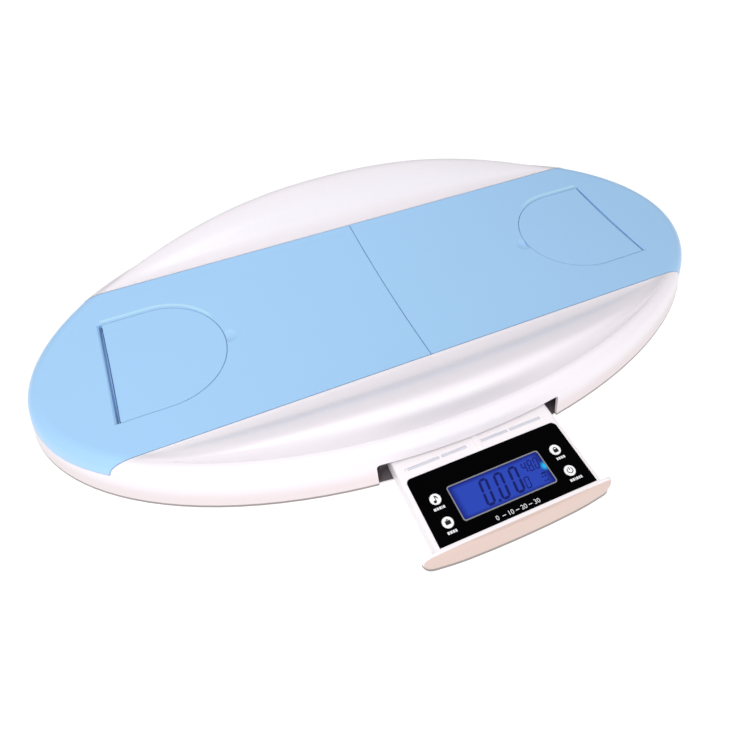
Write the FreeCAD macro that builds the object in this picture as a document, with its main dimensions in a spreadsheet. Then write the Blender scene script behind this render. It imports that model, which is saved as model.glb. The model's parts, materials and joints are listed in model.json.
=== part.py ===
"""Baby weighing scale with a sliding two-part tray, hinged head and foot boards and a display drawer.

All lengths are millimetres. The design frame has z = 0 on the middle of the weighing deck, x along the
body and y towards the back. Every sub-part is then placed so that the origin is the centre of the
footprint on the floor, with the drawer pulled out.
"""

import FreeCAD
import Part
import Sketcher
import math
import os
import re
from types import SimpleNamespace

SIZES = {
    # body
    "body_length": (624, "length over the bottom edge of the body"),
    "body_width": (337, "width over the bottom edge of the body"),
    "rim_drop": (28.5, "deck centre down to the bottom edge of the upper shell"),
    "wall_draft": (15.6, "lean of the outer wall, degrees"),
    "edge_round": (12, "radius where the deck rolls over into the wall"),
    "shell_wall": (2.6, "wall of the upper shell"),
    # side wings
    "wing_margin": (75, "end of the body to the end of a raised side wing"),
    "wing_inset": (19.2, "side of the body to the crease at the outside of a wing"),
    "wing_rise": (24, "height of the wing crown over the strip edge"),
    "wing_tip_width": (4.3, "width of a wing where it ends"),
    "wing_core_width": (28, "width of a wing where its hollow ends"),
    # blue strip
    "strip_width": (178, "width of the sliding strip"),
    "dish_depth": (4.6, "how far the strip edge stands over its centre line"),
    "side_gap": (0.35, "running gap between a tray half and what it slides along"),
    "seam_gap": (0.6, "gap between the two tray halves when closed"),
    "panel_thickness": (2.2, "tray panel"),
    "cap_wall": (2.4, "wall of the cap that wraps over the end of the body"),
    "cap_drop_middle": (14, "lower edge of the cap at the end of the body"),
    "cap_drop_corner": (7.1, "lower edge of the cap at the strip's edge"),
    "parting_gap": (0.5, "gap between the cap and the white band under it"),
    "flange_wall": (2, "side flange of a tray half"),
    "foot_width": (5, "inward foot of the side flange"),
    "foot_thickness": (1.5, "thickness of that foot"),
    "tray_travel": (110, "outward travel of each tray half"),
    # chassis
    "channel_depth": (7.5, "deck centre down to the chassis plate"),
    "chassis_thickness": (2.4, "chassis plate"),
    "chassis_play": (0.3, "gap between the chassis plate's ends and the body"),
    "chassis_flange": (8, "how far the chassis plate reaches under the wings"),
    "ledge_inset": (3, "step from the outer wall in to the wall that carries the chassis plate's end"),
    "ledge_play": (0.15, "gap between that wall and the ends of the tray's side flanges"),
    "rail_margin": (72, "end of the body to the end of a slide rail"),
    "rail_web": (2, "web of a slide rail"),
    "rail_lip": (1.5, "lip of a slide rail"),
    # length gauge
    "gear_module": (2, "module of pinion and racks"),
    "pinion_teeth": (24, "teeth on the pinion"),
    "pressure_angle": (20, "pressure angle, degrees"),
    "gear_backlash": (0.3, "tooth play on the pitch line"),
    "gear_thickness": (2.5, "thickness of pinion and racks"),
    "rack_width": (7, "back of the rack behind the tooth roots"),
    "rack_overrun": (16, "rack length past the pinion's axis at full travel"),
    "rack_clearance": (0.3, "gap over and under the racks"),
    "rack_foot_length": (20, "pad that joins a rack to its tray half"),
    "cover_wall": (1.3, "wall of the rack cover"),
    "cover_gap": (6.9, "rack cover's ends to the pads of the racks"),
    "shaft_radius": (3, "pinion shaft"),
    "shaft_play": (0.05, "radial play of a shaft or pin"),
    "encoder_width": (26, "square encoder housing"),
    "encoder_height": (7, "height of the encoder housing"),
    "encoder_floor": (0.8, "floor of the encoder housing"),
    "shaft_end_play": (0.2, "gap under the pinion's shaft"),
    # head and foot boards
    "hinge_margin": (72, "end of the body to a hinge edge, which leaves 480 between the two edges"),
    "flap_half_width": (53.4, "half width of a board, also its end radius"),
    "flap_length": (92.5, "hinge edge to the rounded end"),
    "flap_thickness": (2, "thickness of a board"),
    "flap_gap": (0.4, "gap round a board"),
    "hinge_drop": (3, "deck centre down to the hinge axis"),
    "knuckle_radius": (2, "hinge barrel"),
    "lug_radius": (1.7, "lugs that hold the hinge pin"),
    "knuckle_half_length": (40, "half length of the hinge barrel"),
    "lug_length": (11, "length of each lug beside the barrel"),
    "pin_radius": (1, "hinge pin"),
    "sweep_gap": (0.5, "gap between a swinging hinge edge and its trough"),
    "sweep_floor": (0.3, "gap under the hinge barrel"),
    "trough_floor": (1.2, "floor of the hinge trough"),
    "groove_reach": (4.4, "outboard edge of the trough's bevel from the hinge edge"),
    "groove_bevel": (1.9, "bevel on the outboard edge of the hinge trough"),
    "well_wall": (1.4, "wall of the well under a board"),
    "well_play": (0.6, "how far that well reaches into the panel, and its floor under the board"),
    "scoop_radius": (7, "finger scoop at the rounded end of a board"),
    "scoop_depth": (1.4, "depth of the finger scoop"),
    # drawer
    "drawer_travel": (72, "pull-out travel of the drawer"),
    "opening_side": (11.5, "sides of the opening in the front wall past the drawer body"),
    "opening_drop": (8.6, "deck centre down to the top of the opening"),
    "opening_round": (3, "upper corners of the opening"),
    "front_gap": (0.5, "gap round the drawer front"),
    "front_depth": (10.5, "foremost point of the body back to the flat back of the drawer front"),
    "front_side": (9.5, "ends of the drawer front past the drawer body"),
    "front_edge_round": (5.7, "height over which the drawer front rounds off to its top"),
    "front_edge_reach": (1.4, "how far that rounding runs in at the middle"),
    "front_end_reach": (10, "how far that rounding runs in at the ends"),
    "front_end_depth": (1, "depth of the drawer front at its very ends"),
    "drawer_drop": (12, "deck centre down to the drawer's top"),
    "drawer_side": (3.5, "drawer body past the ends of the display panel"),
    "drawer_length": (115, "length of the drawer body behind its front"),
    "drawer_height": (14.5, "height of the drawer body"),
    "drawer_wall": (2, "walls of the drawer body"),
    "bezel_height": (4, "height of the drawer's top cover"),
    "bezel_round": (2.4, "rounded long edges of the top cover"),
    "runner_width": (4.5, "side runner of the drawer"),
    "runner_thickness": (2, "thickness of that runner"),
    "runner_drop": (16.5, "deck centre down to the top of the runner"),
    "runner_length": (35, "length of that runner, at the drawer's back"),
    "drawer_rail_width": (7, "width of a drawer rail"),
    "rail_drop": (13, "deck centre down to the top of a drawer rail"),
    "rail_side_gap": (0.5, "gap between the drawer's side and its rail"),
    "rail_play": (0.25, "play of a runner in its groove"),
    "rail_wall": (2, "closed ends of the groove"),
    # display
    "panel_margin": (0.8, "back of the drawer front to the display panel"),
    "display_length": (126, "black display panel, along x"),
    "display_width": (54.4, "black display panel, along y"),
    "display_thickness": (1.8, "black display panel"),
    "display_sink": (0.2, "panel's face under the top cover's face"),
    "display_corner": (4, "rounded back corners of the display panel"),
    "display_gap": (0.2, "gap round the display panel"),
    "ledge_width": (3, "ledge that carries the display panel"),
    "lcd_margin": (24.8, "window's ends from the panel's ends"),
    "lcd_width": (28.4, "window along y"),
    "lcd_corner": (2.4, "rounded window corners"),
    "lcd_offset": (1, "window centre from the middle, towards the left"),
    "lcd_inset": (16, "window's back edge from the panel's back edge"),
    "lcd_frame": (1, "silver frame round the window"),
    "frame_play": (0.1, "gap round the silver frame"),
    "frame_proud": (0.1, "silver frame over the top cover's face"),
    "lcd_step": (0.3, "step of the display block under the panel"),
    "lcd_drop": (13, "deck centre down to the display's glass"),
    "key_radius": (4.2, "round key"),
    "key_play": (0.25, "radial play of a key in its hole"),
    "key_side_inset": (13.2, "key centres from the panel's ends"),
    "key_inset": (21.4, "rear key centres from the panel's back edge"),
    "key_pitch": (18.7, "rear key to front key"),
    "key_proud": (0.6, "how far a key stands over the panel"),
    "key_travel": (0.6, "push travel of a key"),
    "key_flange": (0.8, "flange that keeps a key under the panel"),
    "key_flange_reach": (1, "how far that flange stands out"),
    "key_bevel": (0.3, "bevelled rim of a key"),
    "key_slack": (0.05, "gap between flange and panel"),
    "key_stop": (0.15, "gap between a pressed key and its switch"),
    "groove_width": (2.4, "long shallow grooves behind the panel"),
    "groove_depth": (1.2, "depth of those grooves"),
    "groove_inset": (7.3, "grooves behind the panel's back edge"),
    "catch_width": (5, "raised catch between the grooves"),
    "catch_length": (15, "length of that catch"),
    "catch_height": (0.7, "height of that catch"),
    "catch_inset": (2, "catch behind the panel's back edge"),
    "board_thickness": (1.6, "circuit boards"),
    "board_margin": (2, "display board's edge inside the panel's edge"),
    "switch_side": (6, "square key switch"),
    "switch_height": (2, "height of a key switch"),
    # base
    "base_inset": (2.5, "base plate edge inside the shell's bottom edge"),
    "base_thickness": (3, "base plate"),
    "foot_stand": (8.5, "base plate's underside over the floor"),
    "foot_margin": (122, "end of the body to the middle of a foot"),
    "foot_inset": (84.5, "side of the body to the middle of a foot"),
    "foot_radius": (17, "foot"),
    "foot_gap": (0.8, "gap between a foot and its hole"),
    "pad_radius": (15, "rubber pad"),
    "pad_thickness": (3, "rubber pad under its foot"),
    "pad_sink": (1, "rubber pad's depth in its foot"),
    "cell_side": (40, "square load cell"),
    "cell_thickness": (2.5, "load cell plate"),
    "slot_width": (2, "slots beside the bending tongue of a load cell"),
    "screw_radius": (1.5, "screws"),
    "screw_head_radius": (2.8, "screw heads"),
    "screw_head_height": (2, "screw heads"),
    "screw_head_sink": (0.2, "case screw heads under the face of the base plate"),
    "screw_margin": (97, "end of the body to an outer case screw"),
    "screw_near": (105, "inner case screws from the middle, along the body"),
    "screw_inset": (13.5, "side of the body to a case screw"),
    "screw_depth": (8, "screw length above the base plate"),
    "boss_radius": (4.5, "screw bosses and posts"),
    "post_near": (125, "inner posts from the middle, along the body"),
    "post_margin": (57, "end of the body to an outer post"),
    "post_side": (66, "posts from the middle, across the body"),
    "peg_radius": (2.5, "pegs under the circuit boards"),
    "peg_height": (4, "pegs under the main board"),
    "peg_inset": (5, "pegs from the edges of a circuit board"),
    "peg_shift": (10, "pegs behind the rear keys and the panel's front edge"),
    # batteries
    "battery_radius": (5.25, "battery cell"),
    "battery_length": (44.5, "battery cell"),
    "battery_pitch": (11.2, "distance between battery cells"),
    "battery_y": (80, "battery box from the middle, towards the back"),
    "battery_wall": (1.6, "walls of the battery box"),
    "nub_radius": (1.9, "positive end of a cell"),
    "nub_length": (1, "positive end of a cell"),
    "cell_clear": (0.35, "gap between the cells and the door or roof"),
    "contact_gap": (3.5, "room for contacts at each end of the cells"),
    "contact_plate": (0.6, "thickness of a contact plate"),
    "contact_side": (8, "square contact plate"),
    "door_thickness": (2, "battery door"),
    "door_margin": (5, "door past the battery box's mouth"),
    "door_travel": (12, "slide travel of the battery door"),
    "door_gap": (0.3, "gap round the battery door"),
    "door_slack": (0.15, "gap over and under the battery door's tongues"),
    "door_tongue": (1.2, "tongues on the long edges of the battery door"),
    "tongue_thickness": (0.9, "thickness of those tongues"),
    "grip_pitch": (4, "spacing of the grip grooves"),
    "grip_depth": (0.6, "depth of the grip grooves"),
    "grip_length": (20, "length of the grip grooves"),
    # electronics
    "speaker_x": (105, "speaker from the middle, towards the left"),
    "speaker_radius": (14, "speaker"),
    "speaker_height": (5, "basket of the speaker"),
    "sound_hole_radius": (1.2, "sound holes"),
    "sound_ring": (6, "ring of sound holes"),
    "board_x": (84, "main board centre from the middle, towards the right"),
    "main_board_length": (66, "main board"),
    "main_board_width": (46, "main board"),
    "chip_height": (2.5, "parts on the main board"),
}

RAIL_SIDES = {"front": -1, "back": 1}
HAND = {"left": 0.0, "right": 180.0}
FOOT_X = "(body_length / 2 - foot_margin)"
FOOT_Y = "(body_width / 2 - foot_inset)"
FEET = {"1": ("-" + FOOT_X, "-" + FOOT_Y), "2": (FOOT_X, "-" + FOOT_Y), "3": (FOOT_X, FOOT_Y),
        "4": ("-" + FOOT_X, FOOT_Y)}
KEYS = {"key_melody": (-1, 0), "key_tare": (-1, 1), "key_hold": (1, 0), "key_power": (1, 1)}
POST_FAR = "(body_length / 2 - post_margin)"
POSTS = [(x, y) for x in ("-" + POST_FAR, "-post_near", "post_near", POST_FAR)
         for y in ("-post_side", "post_side")]
PEG_REACH = "main_board_length / 2 - peg_inset"
PEG_DEPTH = "main_board_width / 2 - peg_inset"
BOARD_PEGS = [(f"board_x {a} ({PEG_REACH})", f"battery_y {b} ({PEG_DEPTH})") for a in "-+" for b in "-+"]
SOUND_HOLES = 6

# Levels and places in formulas over the sizes.
CHASSIS_TOP = "-channel_depth"
CHASSIS_BOTTOM = "-channel_depth - chassis_thickness"
BASE_TOP = "-rim_drop"
BASE_BOTTOM = "-rim_drop - base_thickness"
FLOOR = "-rim_drop - base_thickness - foot_stand"
FACE_Y = "-body_width / 2 + front_depth - drawer_travel"
DRAWER_BACK_Y = FACE_Y + " + drawer_length"
DRAWER_TOP = "-drawer_drop"
BEZEL_BOTTOM = "-drawer_drop - bezel_height"
DRAWER_BOTTOM = "-drawer_drop - drawer_height"
DRAWER_HALF = "(display_length / 2 + drawer_side)"
PANEL_FRONT_Y = FACE_Y + " + panel_margin"
PANEL_BACK_Y = FACE_Y + " + panel_margin + display_width"
RAIL_LENGTH = "(body_length - 2 * rail_margin)"
PANEL_TOP = "-drawer_drop - display_sink"
PANEL_BOTTOM = "-drawer_drop - display_sink - display_thickness"
LCD_STEP = PANEL_BOTTOM + " - lcd_step"
BOARD_TOP = PANEL_BOTTOM + " - key_slack - key_flange - key_travel - key_stop - switch_height"
LCD_LENGTH = "(display_length - 2 * lcd_margin)"
PEG_X = "(display_length / 2 - board_margin - peg_inset)"
RAIL_SLOT = "(runner_width - rail_side_gap + rail_play)"
BOX_LENGTH = "battery_length + 2 * contact_gap"
BOX_WIDTH = "3 * battery_pitch + 2 * (battery_radius + cell_clear)"
BOX_HEIGHT = "2 * (battery_radius + cell_clear) - base_thickness + door_thickness"
BATTERY_LEVEL = BASE_BOTTOM + " + door_thickness + cell_clear + battery_radius"

# Parts on the main board: centre, length and width, as shares of the board's length and width.
CHIPS = [(-0.21, 0.13, 0.18, 0.26), (0.18, 0.17, 0.12, 0.22), (0.15, -0.26, 0.27, 0.13),
         (-0.27, -0.3, 0.15, 0.11)]

# Grooves behind the display, from and to along x, as shares of the drawer's half width.
GROOVE_PARTS = [(-0.90, -0.48), (-0.45, -0.14), (0.05, 0.39), (0.42, 0.83)]

# Cross-section of a wing: distance from the strip edge and height, as shares of its width and rise.
WING_SECTION = [(0.17, 0.05), (0.29, 0.18), (0.38, 0.40), (0.52, 0.70), (0.70, 0.92), (0.84, 1.0),
                (0.93, 0.86), (0.975, 0.52), (1.0, 0.0)]

doc = FreeCAD.newDocument("baby_scale")
sheet = doc.addObject("Spreadsheet::Sheet", "dims")
finished = []


def fill_sheet():
    """Write every driving size into the sheet and return them by name."""
    for row, (alias, (value, note)) in enumerate(SIZES.items(), start=1):
        sheet.set(f"A{row}", alias)
        sheet.set(f"B{row}", str(value))
        sheet.set(f"C{row}", note)
        sheet.setAlias(f"B{row}", alias)
    doc.recompute()
    return SimpleNamespace(**{alias: float(getattr(sheet, alias)) for alias in SIZES})


s = fill_sheet()

# Levels and places that several sub-parts share.
chassis_top = -s.channel_depth
chassis_bottom = chassis_top - s.chassis_thickness
base_top = -s.rim_drop
gear_bottom = chassis_top + s.rack_clearance
gear_top = gear_bottom + s.gear_thickness
pitch_radius = s.gear_module * s.pinion_teeth / 2
drawer_face_y = s.front_depth - s.body_width / 2 - s.drawer_travel
panel_back_y = drawer_face_y + s.panel_margin + s.display_width
lcd_middle_y = panel_back_y - s.lcd_inset - s.lcd_width / 2
lcd_length = s.display_length - 2 * s.lcd_margin
drawer_half = s.display_length / 2 + s.drawer_side
opening_half = drawer_half + s.opening_side
hinge_x = s.hinge_margin - s.body_length / 2
pin_x = hinge_x + s.knuckle_radius
wing_half_length = s.body_length / 2 - s.wing_margin
wing_side = s.body_width / 2 - s.wing_inset
wing_reach = wing_half_length / math.sqrt(1 - (s.strip_width / 2 / wing_side) ** 2)
wing_width = wing_side - s.strip_width / 2
clear_top = s.dish_depth + 2 * s.wing_rise


# ---------------------------------------------------------------- helpers

def vector(x, y, z):
    return FreeCAD.Vector(x, y, z)


def bound(text):
    """Turn plain size names in a formula into references to the sheet."""
    def refer(found):
        word = found.group()
        return "dims." + word if word in SIZES else word
    return re.sub(r"[a-z][a-z_]*", refer, text)


def bind(thing, **formulas):
    """Bind properties to formulas over the sheet; two underscores stand for a dot."""
    for name, formula in formulas.items():
        thing.setExpression(name.replace("__", "."), bound(formula))


def place(thing, turn=0.0):
    """Put a finished sub-part where it belongs over the floor."""
    thing.Placement = FreeCAD.Placement(vector(0, 0, 0), FreeCAD.Rotation(vector(0, 0, 1), turn))
    bind(thing, Placement__Base__y="drawer_travel / 2",
         Placement__Base__z="rim_drop + base_thickness + foot_stand")
    finished.append(thing)
    return thing


def from_shape(label, shape, turn=0.0):
    """Keep a shape made with Part's own functions as a sub-part."""
    feature = doc.addObject("Part::Feature", label)
    feature.Label = label
    feature.Shape = shape
    return place(feature, turn)


def box(name, length, width, height, x, y, z):
    """Box primitive with its size and lowest corner bound to formulas."""
    solid = doc.addObject("Part::Box", name)
    bind(solid, Length=length, Width=width, Height=height,
         Placement__Base__x=x, Placement__Base__y=y, Placement__Base__z=z)
    return solid


def cylinder(name, radius, height, x, y, z, axis=(0, 0, 1)):
    """Cylinder primitive that starts at a point and runs along an axis."""
    solid = doc.addObject("Part::Cylinder", name)
    solid.Placement.Rotation = FreeCAD.Rotation(vector(0, 0, 1), vector(*axis))
    bind(solid, Radius=radius, Height=height,
         Placement__Base__x=x, Placement__Base__y=y, Placement__Base__z=z)
    return solid


def oval(name, shrink, level, height):
    """Upright elliptical disc, smaller than the body's bottom edge by shrink."""
    outline = doc.addObject("Part::Ellipse", name + "_outline")
    bind(outline, MajorRadius=f"body_length / 2 - {shrink}", MinorRadius=f"body_width / 2 - {shrink}",
         Placement__Base__z=level)
    disc = doc.addObject("Part::Extrusion", name)
    disc.Base = outline
    disc.Dir = vector(0, 0, 1)
    disc.Solid = True
    bind(disc, LengthFwd=height)
    return disc


def fuse(name, parts):
    joined = doc.addObject("Part::MultiFuse", name)
    joined.Shapes = parts
    return joined


def cut(name, base, tool):
    rest = doc.addObject("Part::Cut", name)
    rest.Base = base
    rest.Tool = tool
    return rest


def group(name, parts):
    """Keep separate solids together in one node."""
    compound = doc.addObject("Part::Compound", name)
    compound.Links = parts
    return compound


def named(feature, label, turn=0.0):
    feature.Label = label
    return place(feature, turn)


class Drawing:
    """A PartDesign body whose sketches lie on its own XY plane, with every size bound to the sheet."""

    def __init__(self, label):
        self.body = doc.addObject("PartDesign::Body", label)
        self.body.Label = label
        self.count = 0

    def sketch(self, level):
        """Start a sketch at a height."""
        self.count += 1
        flat = self.body.newObject("Sketcher::SketchObject", f"{self.body.Name}_sketch{self.count}")
        plane = next(f for f in self.body.Origin.OriginFeatures if f.Role == "XY_Plane")
        flat.AttachmentSupport = (plane, [""])
        flat.MapMode = "FlatFace"
        bind(flat, AttachmentOffset__Base__z=level)
        return flat

    def pad(self, flat, height):
        """Raise a sketch upwards."""
        feature = self.body.newObject("PartDesign::Pad", flat.Name + "_pad")
        feature.Profile = flat
        bind(feature, Length=height)
        return feature

    def pocket(self, flat, depth):
        """Cut a sketch downwards."""
        feature = self.body.newObject("PartDesign::Pocket", flat.Name + "_pocket")
        feature.Profile = flat
        bind(feature, Length=depth)
        return feature

    def round_edges(self, radius, chosen):
        """Round the edges of the body so far that a test picks."""
        doc.recompute()
        tip = self.body.Tip
        names = [f"Edge{k}" for k, edge in enumerate(tip.Shape.Edges, start=1) if chosen(edge)]
        self.count += 1
        feature = self.body.newObject("PartDesign::Fillet", f"{self.body.Name}_round{self.count}")
        feature.Base = (tip, names)
        bind(feature, Radius=radius)
        return feature

    def done(self):
        return place(self.body)


def upright(edge):
    """True for a vertical straight edge."""
    return edge.BoundBox.ZLength > 0.2 and edge.BoundBox.DiagonalLength - edge.BoundBox.ZLength < 0.01


def at_window(edge):
    """True for the vertical edges of the display window."""
    return (upright(edge) and abs(edge.CenterOfMass.x + s.lcd_offset) < lcd_length / 2 + 1
            and abs(edge.CenterOfMass.y - lcd_middle_y) < s.lcd_width / 2 + 1)


def fix(flat, geometry, point, x, y):
    """Tie a point of a sketch to a place given by two formulas."""
    for kind, formula in (("DistanceX", x), ("DistanceY", y)):
        index = flat.addConstraint(Sketcher.Constraint(kind, -1, 1, geometry, point, 1.0))
        flat.setExpression(f"Constraints[{index}]", bound(formula))


def rectangle(flat, left, right, front, back):
    """Rectangle between four formulas."""
    corners = [(left, front), (right, front), (right, back), (left, back)]
    rough = [vector(-1, -1, 0), vector(1, -1, 0), vector(1, 1, 0), vector(-1, 1, 0)]
    first = flat.GeometryCount
    for k in range(4):
        flat.addGeometry(Part.LineSegment(rough[k], rough[(k + 1) % 4]), False)
    for k in range(4):
        flat.addConstraint(Sketcher.Constraint("Coincident", first + k, 2, first + (k + 1) % 4, 1))
    for k, (x, y) in enumerate(corners):
        fix(flat, first + k, 1, x, y)


def circle(flat, x, y, radius):
    """Circle whose centre and radius are formulas."""
    index = flat.addGeometry(Part.Circle(vector(0, 0, 0), vector(0, 0, 1), 1.0), False)
    fix(flat, index, 3, x, y)
    size = flat.addConstraint(Sketcher.Constraint("Radius", index, 1.0))
    flat.setExpression(f"Constraints[{size}]", bound(radius))


# ---------------------------------------------------------------- body forms

def ellipse_wire(inset, level):
    """Outline of the drafted wall at a level, moved in by inset."""
    lean = math.tan(math.radians(s.wall_draft))
    shrink = inset + (level + s.rim_drop) * lean
    outline = Part.Ellipse(vector(0, 0, level), s.body_length / 2 - shrink, s.body_width / 2 - shrink)
    return Part.Wire([outline.toShape()])


def drafted(inset, low, high):
    """Solid inside the drafted elliptical wall between two levels."""
    return Part.makeLoft([ellipse_wire(inset, low), ellipse_wire(inset, high)], True, True)


def puck(inset):
    """Body without its wings: drafted wall, flat top and rolled edge, all moved in by inset."""
    top = s.dish_depth - inset
    solid = drafted(inset, base_top, top)
    edge = [e for e in solid.Edges if e.BoundBox.ZMin > top - 0.01]
    return solid.makeFillet(s.edge_round - inset, edge)


def strip_prism(half_width, low, mid, edge, x_start, x_end):
    """Bar along x with a dished top that passes through mid at its middle and edge at its sides."""
    left, right = vector(x_start, -half_width, low), vector(x_start, half_width, low)
    high_left, high_right = vector(x_start, -half_width, edge), vector(x_start, half_width, edge)
    lines = [Part.LineSegment(left, right), Part.LineSegment(right, high_right),
             Part.Arc(high_right, vector(x_start, 0, mid), high_left), Part.LineSegment(high_left, left)]
    profile = Part.Wire([line.toShape() for line in lines])
    return Part.Face(profile).extrude(vector(x_end - x_start, 0, 0))


def dish(offset, half_width):
    """Height of the dished deck at a distance from its middle, lowered by offset."""
    return s.dish_depth * (2 * half_width / s.strip_width) ** 2 - offset


def wing_wire(x, inset):
    """Cross-section of a wing at x, moved in by inset, drawn for the back wing."""
    edge = s.strip_width / 2
    width = wing_side * math.sqrt(1 - (x / wing_reach) ** 2) - edge
    rise = s.wing_rise * (1 - abs(x / wing_half_length) ** 2.5) ** 1.5
    points = [(edge + a * width, s.dish_depth + b * rise) for a, b in WING_SECTION]
    points.insert(0, (edge - 2 * s.side_gap, s.dish_depth - s.side_gap))
    if inset:
        points = moved_in(points, inset)
    curve = Part.BSplineCurve()
    curve.interpolate(Points=[vector(x, y, z) for y, z in points], Parameters=section_knots())
    (y_in, z_in), (y_out, z_out) = points[0], points[-1]
    low = chassis_top
    lean = (z_out - low) * math.tan(math.radians(s.wall_draft))
    corners = [vector(x, y_out, z_out), vector(x, y_out + lean, low), vector(x, y_in, low),
               vector(x, y_in, z_in)]
    lines = [Part.LineSegment(a, b).toShape() for a, b in zip(corners, corners[1:])]
    return Part.Wire([curve.toShape()] + lines)


def section_knots():
    """One set of knots for all sections, spaced by the chords of the middle section."""
    points = [(0, 0)] + [(a * wing_width, b * s.wing_rise) for a, b in WING_SECTION]
    knots = [0]
    for before, after in zip(points, points[1:]):
        knots.append(knots[-1] + math.dist(before, after))
    return [knot / knots[-1] for knot in knots]


def moved_in(points, inset):
    """Offset an open profile to its lower side."""
    result = []
    for k, (y, z) in enumerate(points):
        before, after = points[max(k - 1, 0)], points[min(k + 1, len(points) - 1)]
        dy, dz = after[0] - before[0], after[1] - before[1]
        size = math.hypot(dy, dz)
        result.append((y + inset * dz / size, z - inset * dy / size))
    return result


def wing(inset, end_width):
    """Back wing as a loft of sections that run out between the strip and a curve along the body's side."""
    stations = 15
    end = wing_reach * math.sqrt(1 - ((s.strip_width / 2 + end_width) / wing_side) ** 2)
    angles = [math.pi * (k / (stations - 1) - 0.5) for k in range(stations)]
    wires = [wing_wire(end * math.sin(a), inset) for a in angles]
    return Part.makeLoft(wires, True, False)


def both_sides(solid):
    return [solid, solid.mirror(vector(0, 0, 0), vector(0, 1, 0))]


def slab(x0, x1, y0, y1, z0, z1):
    return Part.makeBox(x1 - x0, y1 - y0, z1 - z0, vector(x0, y0, z0))


def post(radius, x, y, low, high):
    return Part.makeCylinder(radius, high - low, vector(x, y, low))


# ---------------------------------------------------------------- upper shell

def case_screw_places():
    """Screw centres that follow the outline of the body."""
    places = []
    for x in (s.screw_near, s.body_length / 2 - s.screw_margin):
        y = s.body_width / 2 * math.sqrt(1 - (2 * x / s.body_length) ** 2) - s.screw_inset
        places += [(-x, -y), (x, -y), (x, y), (-x, y)]
    return places


def channel_tool():
    """Space of the sliding strip, with the ledge that shows as a white band under each cap."""
    far = s.body_length
    half = s.strip_width / 2 + s.side_gap
    inner = slab(-far, far, -half, half, chassis_bottom, clear_top)
    inner = inner.common(drafted(s.ledge_inset, base_top, clear_top))
    low_mid = -(s.cap_drop_middle + s.parting_gap)
    low_edge = -(s.cap_drop_corner + s.parting_gap)
    above = slab(-far, far, -half, half, base_top, clear_top)
    under = strip_prism(half, base_top - 1, low_mid, low_edge, -far, far)
    outer = above.cut(under).cut(drafted(s.ledge_inset, base_top - 1, clear_top))
    return inner.fuse(outer)


def shell_void():
    """Hollow of the upper shell, less its inner side walls and screw bosses."""
    hollow = puck(s.shell_wall).fuse(both_sides(wing(s.shell_wall, s.wing_core_width)))
    far = s.body_length
    inner = s.strip_width / 2 + s.side_gap
    outer = inner + s.shell_wall
    keep = [slab(-far, far, y0, y1, chassis_top, clear_top)
            for y0, y1 in ((inner, outer), (-outer, -inner))]
    step = slab(-far, far, -inner, inner, base_top - 1, chassis_bottom)
    keep.append(step.cut(drafted(s.ledge_inset + s.shell_wall, base_top - 2, 0)))
    keep += [post(s.boss_radius, x, y, base_top - 1, clear_top) for x, y in case_screw_places()]
    return hollow.cut(keep)


def opening_tool():
    """Opening of the drawer in the front wall, with rounded upper corners."""
    half = opening_half
    tool = slab(-half, half, -s.body_width, -s.body_width / 4, base_top - 1, -s.opening_drop)
    corners = [e for e in tool.Edges if e.BoundBox.ZMin > -s.opening_drop - 0.01 and e.BoundBox.YLength > 1]
    return tool.makeFillet(s.opening_round, corners)


def make_upper_shell():
    outer = puck(0).fuse(both_sides(wing(0, s.wing_tip_width)))
    shell = outer.cut(shell_void()).cut(channel_tool()).cut(opening_tool())
    screws = [post(s.screw_radius, x, y, base_top - 1, base_top + s.screw_depth)
              for x, y in case_screw_places()]
    from_shape("upper_shell", shell.cut(screws))


# ---------------------------------------------------------------- tray halves

def strip_form(inset, half_width):
    """Closed form of the whole strip: dished top, drafted ends and rolled end edges."""
    thickness = s.panel_thickness if inset else 0
    body = drafted(inset, base_top, clear_top)
    edge = dish(thickness, half_width)
    body = body.common(strip_prism(half_width, base_top, -thickness, edge, -s.body_length, s.body_length))
    ends = [e for e in body.Edges
            if e.BoundBox.ZMin > -thickness - 1 and e.BoundBox.YLength > s.strip_width / 2
            and e.BoundBox.XMin * e.BoundBox.XMax > 0]
    return body.makeFillet(s.edge_round - inset, ends)


def flap_outline(grow, low, high):
    """Prism with the outline of a board, moved out by grow on its round and straight sides."""
    radius = s.flap_half_width + grow
    centre = hinge_x + s.flap_length - s.flap_half_width
    straight = slab(hinge_x, centre, -radius, radius, low, high)
    round_end = slab(hinge_x, centre + radius + 1, -radius, radius, low, high)
    return straight.fuse(round_end.common(post(radius, centre, 0, low, high)))


def under_dish(offset, low):
    """Everything under the dished deck lowered by offset."""
    half = s.strip_width / 2
    return strip_prism(half, low, -offset, dish(offset, half), -s.body_length, s.body_length)


def sweep_radius():
    """Radius swept by the hinge edge of a board."""
    rise = s.hinge_drop + dish(0, s.flap_half_width)
    return math.hypot(s.knuckle_radius, rise) + s.sweep_gap


def along_y(radius, y0, y1):
    """Cylinder about the hinge axis."""
    return Part.makeCylinder(radius, y1 - y0, vector(pin_x, y0, -s.hinge_drop), vector(0, 1, 0))


def flap_well():
    """Shallow well under the board, with the trough that its hinge edge swings in."""
    deep = -(s.hinge_drop + s.knuckle_radius + s.sweep_floor + s.trough_floor)
    pan = flap_outline(s.well_wall + s.flap_gap, deep, s.dish_depth)
    pan = pan.common(under_dish(s.panel_thickness - s.well_play, deep - 1))
    floor = -(s.flap_thickness + s.well_wall + s.well_play)
    half = s.strip_width / 2
    pan = pan.cut(slab(pin_x + 3 * s.knuckle_radius, 0, -half, half, deep - 1, floor))
    reach = sweep_radius() + s.well_wall
    width = s.flap_half_width + s.flap_gap + s.well_wall
    trough = slab(pin_x - reach, pin_x, -width, width, deep, s.dish_depth)
    trough = trough.common(under_dish(0.3, deep - 1))
    return pan.fuse(trough)


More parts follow.
